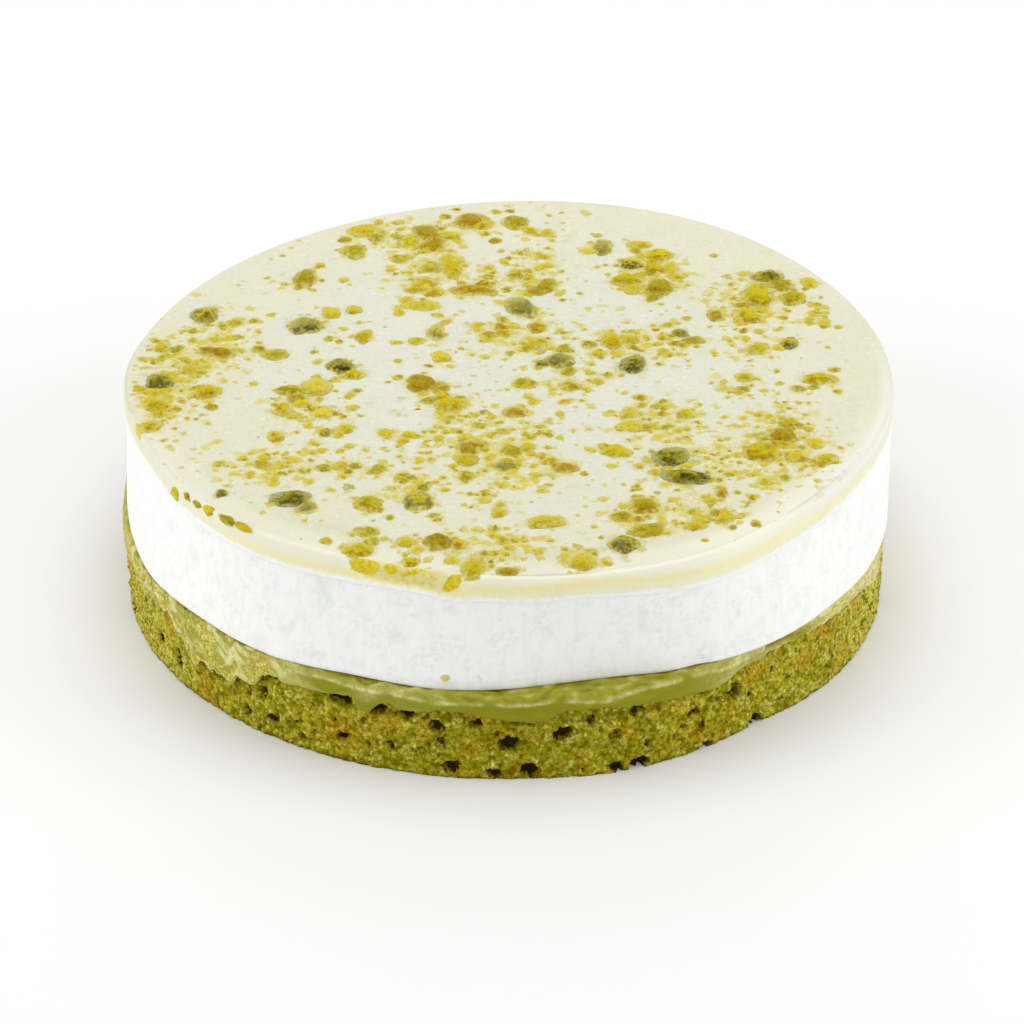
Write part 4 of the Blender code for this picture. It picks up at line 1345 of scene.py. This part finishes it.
def drift_pieces():
    """The larger pieces of every drift, as place and size in mm."""
    draw = random.Random(DRIFT_SEED)
    centre = Vector(GLAZE_CENTRE / MM)
    limit = GLAZE_RADIUS / MM - EDGE_MARGIN
    found = []
    for x, y, across, deep, count in DRIFTS:
        for _ in range(count):
            reach = Vector((draw.gauss(x, 0.5 * across), draw.gauss(y, 0.5 * deep), 0.0)) - centre
            place = centre + reach * min(1.0, limit / reach.length)
            size = draw.uniform(*DRIFT_SIZE)
            found.append((place.x, place.y, size, size * draw.uniform(*DRIFT_SHAPE)))
    return found


def turned(spots, angle):
    """Spots turned about Z."""
    cos, sin = math.cos(angle), math.sin(angle)
    x, y = spots[:, 0].copy(), spots[:, 1].copy()
    spots[:, 0], spots[:, 1] = cos * x - sin * y, sin * x + cos * y
    return spots


def drawn_pushes(draw):
    """How far each corner of a broken piece is pushed in or out."""
    return np.array([draw.uniform(*PIECE_ROUGHNESS) for _ in range(PIECE_CORNERS)])


def broken(ball, bases, pushes, draw):
    """A lump like a broken nut: uneven, with a ragged outline."""
    near = np.clip(ball @ bases.T * 4.0, 0.0, None) ** 6
    spots = ball * ((near @ pushes) / near.sum(axis=1))[:, None]
    shift = draw.uniform(0.0, 90.0)
    return spots * (1.0 + 0.30 * clouds(ball, 0.42, shift) + 0.13 * clouds(ball, 0.16, shift))[:, None]


def palette(settings):
    """The pistachios' colours by letter."""
    return {letter: np.array(getattr(settings, name)) for letter, name in NUT_COLOURS.items()}


def settled(spots, x, y, clings):
    """A lying piece whose foot is spread out where the glaze clings to it."""
    low = soft_step(clings, 0.0, spots[:, 2] - GLAZE_TOP)
    middle = np.array((x, y))
    spots[:, :2] = middle + (spots[:, :2] - middle) * (1.0 + 0.3 * low)[:, None]
    return spots


def nut_colours(spots, kind, colours, draw, film_and_sheen=0.35, film=0.60, front_shade=1.0):
    """Colours at the corners of a lying piece: painted shade in front, paler behind with a film of glaze and
    a painted sheen, and fading into the glaze.

    film_and_sheen says how pale its top gets, film how high up the glaze hides it, and front_shade how dark
    the painted shade on its front is.
    """
    height = (spots[:, 2] - GLAZE_TOP) / max(spots[:, 2].max() - GLAZE_TOP, 0.1 * MM)
    deep = spots[:, 1] - spots[:, 1].mean()
    front = -deep / max(np.abs(deep).max(), 0.1 * MM)
    shift = draw.uniform(0.0, 50.0)
    patches = clouds(spots, 1.3 * MM, shift)
    fine = clouds(spots, 0.65 * MM, shift + 7.0)
    dusky = kind in "nsk"
    own = colours[kind] * draw.uniform(0.92, 1.12)
    other = colours[draw.choice(SECOND_KINDS[kind])]
    second = soft_step(0.05, 0.40, patches + (0.7 * fine + 0.22) * dusky) * 0.9
    shade = own + (other - own) * second[:, None]
    # Painted shade on the front of each piece: brown, or the darkest colour on dark pieces.
    dark = soft_step(0.25, 0.75, front + (0.6 + 0.25 * dusky) * fine + 0.08 * dusky)
    dark = dark * min(draw.uniform(0.3, 1.0) + 0.12 * dusky, 1.0) * front_shade
    shade = shade + (colours["k" if dusky else "b"] - shade) * dark[:, None]
    # Paler behind: a film of glaze with a painted sheen.
    light = soft_step(0.0, 0.7, 0.6 * fine + 0.5 * patches - 0.5 * front) * draw.uniform(0.3, 1.0) * film_and_sheen
    shade = shade + (colours["v"] - shade) * light[:, None]
    sunk = soft_step(film, -0.1, height + 0.4 * fine + 0.3 * patches + 0.12 * soft_step(-0.1, 0.7, front))
    halo = colours["h" if kind in "nk" else "e"]
    return shade + (halo - shade) * sunk[:, None]


def lying(ball, bases, draw, x, y, across, deep):
    """One of the solid's pieces: it lies in the glaze's top, half sunk."""
    thickness = min(PIECE_THICKNESS, PIECE_THICKNESS_SHARE * (across + deep))
    stands = min(draw.uniform(*PIECE_STANDS), PIECE_STANDS_SHARE * min(across, deep))
    angle = draw.uniform(-PIECE_TURN, PIECE_TURN)
    pushes = drawn_pushes(draw)
    own = random.Random(f"{x:.5f} {y:.5f}")
    spots = turned(broken(ball, bases, pushes, own) * (across, deep, thickness), angle)
    return spots + (x, y, GLAZE_TOP + stands - thickness / 2.0)


def crumbled(ball, bases, draw, size):
    """A broken piece that the solid doesn't have, of a size in mm."""
    return broken(ball, bases, drawn_pushes(draw), draw) * (np.array(size) * MM)


def laid(name, lumps, faces, shades):
    """One piece made of many lying pieces, lowered where the glaze's top sags."""
    for spots in lumps:
        spots[:, 2] -= rim_sag(spots)
    return heap(name, lumps, faces, nut=shades)


def make_large(colours, bases, draw, tint):
    """The big pieces, where the solid has them."""
    ball, faces = lump(4)
    lumps, shades = [], []
    for sizes, kind in zip(LARGE_PIECES, LARGE_KINDS):
        x, y, across, deep = (value * MM for value in sizes)
        spots = settled(lying(ball, bases, draw, x, y, across, deep), x, y, LARGE_CLINGS)
        lumps.append(spots)
        shades.append(nut_colours(spots, kind, colours, tint))
    return laid("pistachios_large", lumps, faces, shades)


def make_medium(colours, bases, draw, tint):
    """The larger pieces of the drifts, where the solid has them, the middling ones, and the rim's chain."""
    ball, faces = lump(3)
    lumps, shades = [], []
    for sizes in drift_pieces():
        x, y, across, deep = (value * MM for value in sizes)
        spots = settled(lying(ball, bases, draw, x, y, across, deep), x, y, DRIFT_CLINGS)
        lumps.append(spots)
        shades.append(nut_colours(spots, tint.choice(DRIFT_KINDS), colours, tint, 0.4, 0.75, 0.8))
    for x, y, across, deep, kind in MEDIUM_PIECES:
        spots = crumbled(ball, bases, tint, (across, deep, MEDIUM_THICKNESS))
        spots = turned(spots, tint.uniform(-PIECE_TURN, PIECE_TURN)) + (x * MM, y * MM, GLAZE_TOP - 0.15 * MM)
        spots = settled(spots, x * MM, y * MM, MEDIUM_CLINGS)
        lumps.append(spots)
        shades.append(nut_colours(spots, kind, colours, tint, 0.45, 0.75, 0.8))
    for way, height, along, up, kind in RIM_PIECES:
        spots = crumbled(ball, bases, tint, (along, RIM_PIECE_THICKNESS, up))
        spots = turned(spots, math.radians(way + 90.0))
        raised = spots + (0.0, 0.0, GLAZE_TOP + 0.4 * up * MM)
        shades.append(nut_colours(raised, kind, colours, tint, 0.45, 0.75, 0.4))
        side = glaze_radius(np.array(way, dtype=float)) - 0.3 * MM
        lumps.append(spots + at(np.array(way), side, height * MM, GLAZE_CENTRE))
    return laid("pistachios_medium", lumps, faces, shades)


def make_placed(colours):
    """All pieces that are more than bits."""
    draw, tint = random.Random(SHAPE_SEED), random.Random(TINT_SEED)
    bases, _ = lump(1)
    return make_large(colours, bases, draw, tint), make_medium(colours, bases, draw, tint)


def scattered(draw, count):
    """Places for small crumbs, in mm: most in the drifts, some beside the big pieces, a few anywhere."""
    drifts = DRIFTS + FINE_DRIFTS
    weights = [across * deep for _, _, across, deep, _ in drifts]
    reach = GLAZE_RADIUS / MM
    found = []
    while len(found) < count:
        pick = draw.random()
        if pick < ALONE:
            x, y = draw.uniform(-reach, reach), draw.uniform(-reach, reach)
            if x + 0.5 * y > BARE_FROM:
                continue
        elif pick < ALONE + BESIDE:
            px, py, across, deep = draw.choice(LARGE_PIECES)
            x, y = draw.gauss(px, 0.9 * across), draw.gauss(py, 0.9 * deep)
        else:
            px, py, across, deep, _ = draw.choices(drifts, weights)[0]
            x, y = draw.gauss(px, SPREAD * across), draw.gauss(py, SPREAD * deep)
        away, back = x - GLAZE_MIDDLE[0], y - GLAZE_MIDDLE[1]
        edge = glaze_radius(math.degrees(math.atan2(back, away))) / MM
        if math.hypot(away, back) < edge - BIT_MARGIN:
            found.append((x, y))
    return found


def bit_places():
    """Place and size of every smaller bit, by piece, in mm."""
    draw = random.Random(BIT_PLACE_SEED)
    found = {}
    for name, count, smallest, largest, _ in BIT_SIZES:
        likely = smallest + 0.35 * (largest - smallest)
        places = scattered(draw, count)
        found[name] = [(x, y, draw.triangular(smallest, largest, likely)) for x, y in places]
    return found


def make_bits(colours):
    """The smaller bits and the crumbs of the drifts."""
    draw = random.Random(BIT_SHAPE_SEED)
    places = bit_places()
    made = []
    for name, *_, detail in BIT_SIZES:
        ball, faces = lump(detail)
        lumps, shades = [], []
        for x, y, width in places[name]:
            size = width * MM
            rough = 1.0 + 0.40 * clouds(ball, 0.4, draw.uniform(0.0, 90.0))
            tall = min(0.45 * size, BIT_TALLEST)
            spots = ball * rough[:, None] * (size, size * draw.uniform(0.6, 1.0), tall)
            spots = turned(spots, draw.uniform(0.0, math.pi))
            spots = spots + (x * MM, y * MM, GLAZE_TOP - draw.uniform(0.05, 0.3) * tall)
            lumps.append(settled(spots, x * MM, y * MM, BIT_CLINGS))
            shades.append(nut_colours(lumps[-1], draw.choice(BIT_KINDS), colours, draw, 0.4, 0.85, 0.5))
        made.append(laid(name, lumps, faces, shades))
    return made


# ---------------------------------------------------------------- glaze


def sunk_stains(spots, colours):
    """Pistachio that lies deeper in the glaze, seen through it: its colour and share at every spot."""
    draw = random.Random(STAIN_SEED)
    x, y = spots[:, 0], spots[:, 1]
    shade = np.tile(colours["g"], (len(spots), 1))
    clear = np.ones(len(spots))
    for *drift, _ in DRIFTS:
        clear *= 1.0 - 0.28 * np.exp(-0.75 * from_place(spots, *drift) ** 2)
    share = (1.0 - clear) * (1.0 + 0.8 * clouds(spots, 6.0 * MM, 4.0))

    def stain(px, py, reach, tall, own, strength):
        """Stain the glaze round a place with a colour of its own."""
        dx, dy = (x - px * MM) / (reach * MM), (y - py * MM) / (tall * MM)
        near = np.flatnonzero((np.abs(dx) < 1.6) & (np.abs(dy) < 1.6))
        angle = np.arctan2(dy[near], dx[near])
        wobble = 1.0 + 0.22 * np.sin(2 * angle + px) + 0.18 * np.sin(3 * angle + py)
        inside = soft_step(1.35, 0.45, np.hypot(dx[near], dy[near]) / wobble) * strength
        shade[near] += (own - shade[near]) * inside[:, None]
        share[near] = 1.0 - (1.0 - share[near]) * (1.0 - inside)

    for px, py in scattered(draw, STAINS):
        reach = draw.uniform(*STAIN_REACH)
        own = colours[draw.choice(STAIN_KINDS)]
        stain(px, py, reach, reach * draw.uniform(0.6, 1.0), own, draw.uniform(*STAIN_STRENGTH))
    for px, py, width in (place for places in bit_places().values() for place in places):
        stain(px, py, 0.5 * width + 0.35, 0.45 * width + 0.35, colours["e"], RING_STRENGTH)
    large = [(*piece, kind) for piece, kind in zip(LARGE_PIECES, LARGE_KINDS)]
    larger = [(*piece, "g") for piece in drift_pieces()]
    for px, py, across, deep, kind in (*large, *MEDIUM_PIECES, *larger):
        own = colours["h" if kind in "nk" else "e"]
        stain(px, py, 0.58 * across + 0.4, 0.58 * deep + 0.4, own, RING_STRENGTH)
    return shade, np.clip(share, 0.0, 1.0)


def drift_share(spots):
    """How thickly fine crumbs lie in the glaze at every spot."""
    x, y = spots[:, 0], spots[:, 1]
    thick = np.full(len(spots), 0.05)
    for *drift, _ in DRIFTS:
        thick += 0.40 * np.exp(-0.8 * from_place(spots, *drift) ** 2)
    clean = soft_step(*CLEAN_PAST, x + 0.5 * y) * soft_step(*CLEAN_OUT, np.hypot(x, y))
    return np.clip(thick, 0.0, 0.8) * (1.0 - clean)


def halo_share(spots):
    """Where the glaze is whiter, round the dark pieces."""
    share = np.zeros(len(spots))
    for piece, kind in zip(LARGE_PIECES, LARGE_KINDS):
        if kind in "snk":
            share = np.maximum(share, soft_step(1.1, 0.5, from_place(spots, *piece)))
    return share


def border_height(degrees):
    """Height at which the glaze's yellow ends on the side."""
    return seam_height(degrees) - BORDER_DROP + stood_out(BORDER_WAVES, degrees)


def rim_sag(spots):
    """How far the glaze's top has sagged at every spot."""
    apart = spots - GLAZE_CENTRE
    degrees = directions(apart)
    from_edge = glaze_radius(degrees) - np.hypot(apart[:, 0], apart[:, 1])
    return stood_out(RIM_SAGS, degrees) * soft_step(SAG_REACH, 0.5 * MM, from_edge)


def cut_share(degrees, height):
    """How far inside a piece that is cut flush in the side every spot lies: a half at its outline."""
    share = np.zeros_like(height)
    for middle, level, wide, tall, lean, rise in CUT_PIECES:
        along = np.radians(turn_from(middle, degrees)) * GLAZE_RADIUS / MM
        up = height / MM - level
        across = np.abs(along - lean * up) / wide
        share = np.maximum(share, 1.0 - 0.5 * np.cbrt(across**3 + (np.abs(up - rise * along) / tall) ** 3))
    return share


def glaze_table(ways):
    """Inset and height for every column and row of the glaze's rim and side."""
    table = []
    seams, borders = seam_height(ways), border_height(ways)
    grooves, sags = near_direction(GROOVED, ways), stood_out(RIM_SAGS, ways)
    for seam, border, grooved, sag in zip(seams, borders, grooves, sags):
        low = min(border, seam - 0.3 * MM) - SKIRT_BELOW
        rim = np.array(GLAZE_RIM) * MM
        rim[2, 1] += (1.0 - grooved) * (GLAZE_TOP - rim[2, 1])
        rim[:, 1] -= sag * soft_step(SAG_REACH, 0.5 * MM, rim[:, 0])
        side = np.array([rim[-1], (0.05 * MM, seam), (0.0, low + 0.3 * MM), (0.0, low), (0.5 * MM, low)])
        down = evenly(side, GLAZE_ROWS + 2 - GLAZE_RIM_ROWS, 2)
        table.append(np.concatenate((evenly(rim, GLAZE_RIM_ROWS, 1), down[1:])))
    return np.array(table)


def white_side(degrees, height):
    """Points on the white layer's side near its top, by direction and height."""
    rise, share = WHITE_SECTION[-1][1] * MM + WHITE_UNDER, WHITE_SECTION[-1][2]
    share = share + (1.0 - share) * (height - rise) / (seam_height(degrees) - rise)
    foot = at(degrees, white_foot(degrees) - WHITE_INSET, height)
    top = at(degrees, glaze_radius(degrees) - WHITE_INSET, height, GLAZE_CENTRE)
    return foot + (top - foot) * share[:, None]


def from_centre(spots):
    """Distance of every spot from the glaze's centre."""
    return np.hypot(spots[:, 0] - GLAZE_CENTRE[0], spots[:, 1] - GLAZE_CENTRE[1])


def glaze_corners(spots, degrees):
    """Places for the glaze's corners: an even top, a soft rim, and a thin side on the white layer."""
    on_top = spots[:, 2] > -0.5 / GLAZE_ROWS
    row = np.rint(-spots[:, 2] * GLAZE_ROWS).astype(int)
    ways, column = np.unique(np.round(degrees[~on_top], 3), return_inverse=True)
    table = glaze_table(ways)
    inset, height = table[column.reshape(-1), row[~on_top]].T
    rim_inset = GLAZE_RIM[0][0] * MM
    top_radius = (glaze_radius(degrees) - rim_inset) * np.hypot(spots[:, 0], spots[:, 1])
    shaped = at(degrees, top_radius, GLAZE_TOP, GLAZE_CENTRE)
    side = degrees[~on_top]
    rim = at(side, glaze_radius(side) - inset, height, GLAZE_CENTRE)
    skirt = white_side(side, height) + at(side, SKIRT_GAP - inset, 0.0)
    low = soft_step(0.6 * MM, -0.4 * MM, height - seam_height(side))[:, None]
    shaped[~on_top] = rim + (skirt - rim) * low
    level = TOP_SWELL * clouds(shaped, TOP_SWELL_GRAIN)
    level *= soft_step(0.0, 3.0 * MM, glaze_radius(degrees) - from_centre(shaped) - rim_inset)
    shaped[:, 2] += np.where(on_top, level - rim_sag(shaped), 0.0)
    return shaped


def paint_top(piece, spots, colours):
    """Keep what shows in the glaze's top: stains, drifts of crumbs, halos, and its yellower rim."""
    sag = rim_sag(spots)
    flat = soft_step(0.6 * MM, 0.0, GLAZE_TOP - 0.2 * MM - spots[:, 2] - sag)
    shade, share = sunk_stains(spots, colours)
    paint(piece, stain=shade, stained=share * flat, drift=drift_share(spots) * flat)
    paint(piece, halo=halo_share(spots) * flat, rim=soft_step(*YELLOWED, from_centre(spots)))
    paint(piece, dull=soft_step(0.1 * MM, 0.5 * MM, sag))


def paint_rim(piece, spots, degrees):
    """Keep what shows on the glaze's rim and side: the yellow band, cut pieces, oil, the crest's painted
    highlight and the groove's painted shade.
    """
    from_edge = glaze_radius(degrees) - from_centre(spots)
    above = spots[:, 2] - border_height(degrees)
    edge = soft_step(*SIDE_REACH, from_edge)
    high = soft_step(*HIGH, above)
    soaked = near_direction(SOAKED, degrees)
    grooved = near_direction(GROOVED, degrees)
    crested = near_direction(CRESTED, degrees)
    chalky = strongest(CHALKY, degrees)
    raised = (1.2 + 1.5 * grooved) * MM
    line = np.exp(-(((above - raised) / (1.0 * MM)) ** 2)) + 0.3 * soft_step(raised, raised - 0.8 * MM, above)
    line = np.maximum(line, soaked * soft_step(0.0, 1.8 * MM, 6.0 * MM - above))
    strength = np.clip(BAND_STRENGTH + stood_out(BAND_WAVES, degrees), 0.0, 1.0)
    paint(piece, band=strength * line * edge)
    paint(piece, cut=cut_share(degrees, spots[:, 2]) * edge)
    paint(piece, soak=0.9 * soaked * edge * soft_step(*SOAK_START, above))
    paint(piece, fade=soft_step(*FADED, above))
    # The crest's painted highlight.
    crest = (0.65 + 0.35 * grooved * high) * (1.0 - 0.9 * soaked) * crested
    paint(piece, crest=crest * (1.0 - 0.8 * chalky) * soft_step(*CREST_REACH, from_edge))
    paint(piece, shoulder=crested * soft_step(*SHOULDER_REACH, from_edge))
    paint(piece, chalk=(0.35 + 0.3 * high) * soft_step(*CHALK_REACH, from_edge) * chalky)
    # The groove's painted shade.
    groove = np.exp(-(((from_edge - GROOVE_INSET) / GROOVE_WIDTH) ** 2)) * (above > 3.0 * MM) * grooved
    paint(piece, groove=0.9 * groove * soft_step(-0.4, 0.1, clouds(spots, 26.0 * MM, 2.0)))


def make_glaze(colours):
    """The glaze, with the pistachio that shows through it kept at its corners."""
    piece = disc_drum("glaze", GLAZE_CELLS, GLAZE_ROWS)
    spots = corners(piece.data)
    degrees = directions(spots)
    spots = glaze_corners(spots, degrees)
    move_corners(piece.data, spots)
    paint_top(piece, spots, colours)
    paint_rim(piece, spots, degrees)
    smooth_sides(piece)
    return piece


# ---------------------------------------------------------------- stage


def area_light(name, size, power, spot):
    """A soft square light at a spot, turned towards the cake."""
    data = bpy.data.lights.new(name, "AREA")
    data.shape = "SQUARE"
    data.size = size
    data.energy = power
    light = bpy.data.objects.new(name, data)
    light.location = spot
    light.rotation_euler = (Vector(LIT_SPOT) - Vector(spot)).to_track_quat("-Z", "Y").to_euler()
    bpy.context.scene.collection.objects.link(light)


def make_stage(settings):
    """A plain pale floor, soft lights and the camera."""
    scene = bpy.context.scene
    begin()
    bpy.ops.mesh.primitive_plane_add(size=FLOOR_WIDTH, location=(0.0, 0.0, -FLOOR_GAP))
    floor = taken("floor")
    bpy.ops.object.transform_apply(location=True, rotation=True, scale=True)
    pale = Maker("floor", Roughness=0.9, Specular_IOR_Level=0.1)
    floor.data.materials.append(pale.done(settings.floor))
    world = bpy.data.worlds.new("studio")
    world.use_nodes = True
    sky = world.node_tree.nodes["Background"].inputs
    sky["Color"].default_value = (1.0, 1.0, 1.0, 1.0)
    sky["Strength"].default_value = settings.sky
    scene.world = world
    for name, size, power, spot in LIGHTS:
        area_light(name, size, getattr(settings, power), spot)
    data = bpy.data.cameras.new("camera")
    data.lens = LENS
    data.sensor_width = SENSOR
    camera = bpy.data.objects.new("camera", data)
    camera.location = AIM + Vector((0.0, -math.cos(ELEVATION), math.sin(ELEVATION))) * DISTANCE
    camera.rotation_euler = (AIM - camera.location).to_track_quat("-Z", "Y").to_euler()
    scene.collection.objects.link(camera)
    scene.camera = camera
    scene.view_settings.view_transform = "Standard"


# ---------------------------------------------------------------- operators


class AddSponge(bpy.types.Operator):
    """Add the pistachio sponge and its loose crumbs"""

    bl_idname = "semifreddo.add_sponge"
    bl_label = "Sponge"
    bl_options = {"REGISTER", "UNDO"}

    def execute(self, context):
        settings = context.scene.semifreddo_sponge
        material = sponge_material(settings)
        for piece in (make_sponge(settings), make_crumbs(settings)):
            finish(piece, material, "sponge_base")
        return {"FINISHED"}


class AddCream(bpy.types.Operator):
    """Add the pistachio cream that laps over the sponge"""

    bl_idname = "semifreddo.add_cream"
    bl_label = "Cream"
    bl_options = {"REGISTER", "UNDO"}

    def execute(self, context):
        material = cream_material(context.scene.semifreddo_cream)
        finish(make_cream(), material, "pistachio_cream")
        return {"FINISHED"}


class AddWhiteLayer(bpy.types.Operator):
    """Add the white semifreddo layer"""

    bl_idname = "semifreddo.add_white_layer"
    bl_label = "White layer"
    bl_options = {"REGISTER", "UNDO"}

    def execute(self, context):
        scene = context.scene
        material = white_material(scene.semifreddo_white, scene.semifreddo_pistachios.gold)
        finish(make_white(), material, "semifreddo_layer")
        return {"FINISHED"}


class AddGlaze(bpy.types.Operator):
    """Add the pale glaze, with the pistachio that shows through it"""

    bl_idname = "semifreddo.add_glaze"
    bl_label = "Glaze"
    bl_options = {"REGISTER", "UNDO"}

    def execute(self, context):
        scene = context.scene
        nuts = scene.semifreddo_pistachios
        material = glaze_material(scene.semifreddo_glaze, scene.semifreddo_white.foam, nuts)
        finish(make_glaze(palette(nuts)), material, "glaze_top")
        return {"FINISHED"}


class AddPistachios(bpy.types.Operator):
    """Add the broken pistachios on the glaze"""

    bl_idname = "semifreddo.add_pistachios"
    bl_label = "Pistachios"
    bl_options = {"REGISTER", "UNDO"}

    def execute(self, context):
        scene = context.scene
        colours = palette(scene.semifreddo_pistachios)
        material = pistachio_material(scene.semifreddo_pistachios)
        for piece in (*make_placed(colours), *make_bits(colours)):
            finish(piece, material, "glaze_top")
        return {"FINISHED"}


class AddStage(bpy.types.Operator):
    """Add the floor, the lights and the camera"""

    bl_idname = "semifreddo.add_stage"
    bl_label = "Stage"
    bl_options = {"REGISTER", "UNDO"}

    def execute(self, context):
        make_stage(context.scene.semifreddo_studio)
        return {"FINISHED"}


OPERATORS = (AddSponge, AddCream, AddWhiteLayer, AddGlaze, AddPistachios, AddStage)


class SemifreddoPanel(bpy.types.Panel):
    """The cake's layers and their settings."""

    bl_idname = "VIEW3D_PT_semifreddo"
    bl_label = "Semifreddo cake"
    bl_space_type = "VIEW_3D"
    bl_region_type = "UI"
    bl_category = "Semifreddo"

    def draw(self, context):
        for operator in OPERATORS:
            self.layout.operator(operator.bl_idname)
        for name, group in SETTINGS:
            box = self.layout.box()
            box.label(text=group.__doc__)
            for key in group.__annotations__:
                box.prop(getattr(context.scene, name), key)


CLASSES = (*(group for _, group in SETTINGS), *OPERATORS, SemifreddoPanel)


def register():
    for kind in CLASSES:
        bpy.utils.register_class(kind)
    for name, group in SETTINGS:
        setattr(bpy.types.Scene, name, bpy.props.PointerProperty(type=group))


def unregister():
    for name, _ in SETTINGS:
        delattr(bpy.types.Scene, name)
    for kind in reversed(CLASSES):
        bpy.utils.unregister_class(kind)


def main():
    """Build the whole cake and its stage."""
    register()
    bpy.ops.semifreddo.add_sponge()
    bpy.ops.semifreddo.add_cream()
    bpy.ops.semifreddo.add_white_layer()
    bpy.ops.semifreddo.add_glaze()
    bpy.ops.semifreddo.add_pistachios()
    bpy.ops.semifreddo.add_stage()


if __name__ == "__main__":
    main()
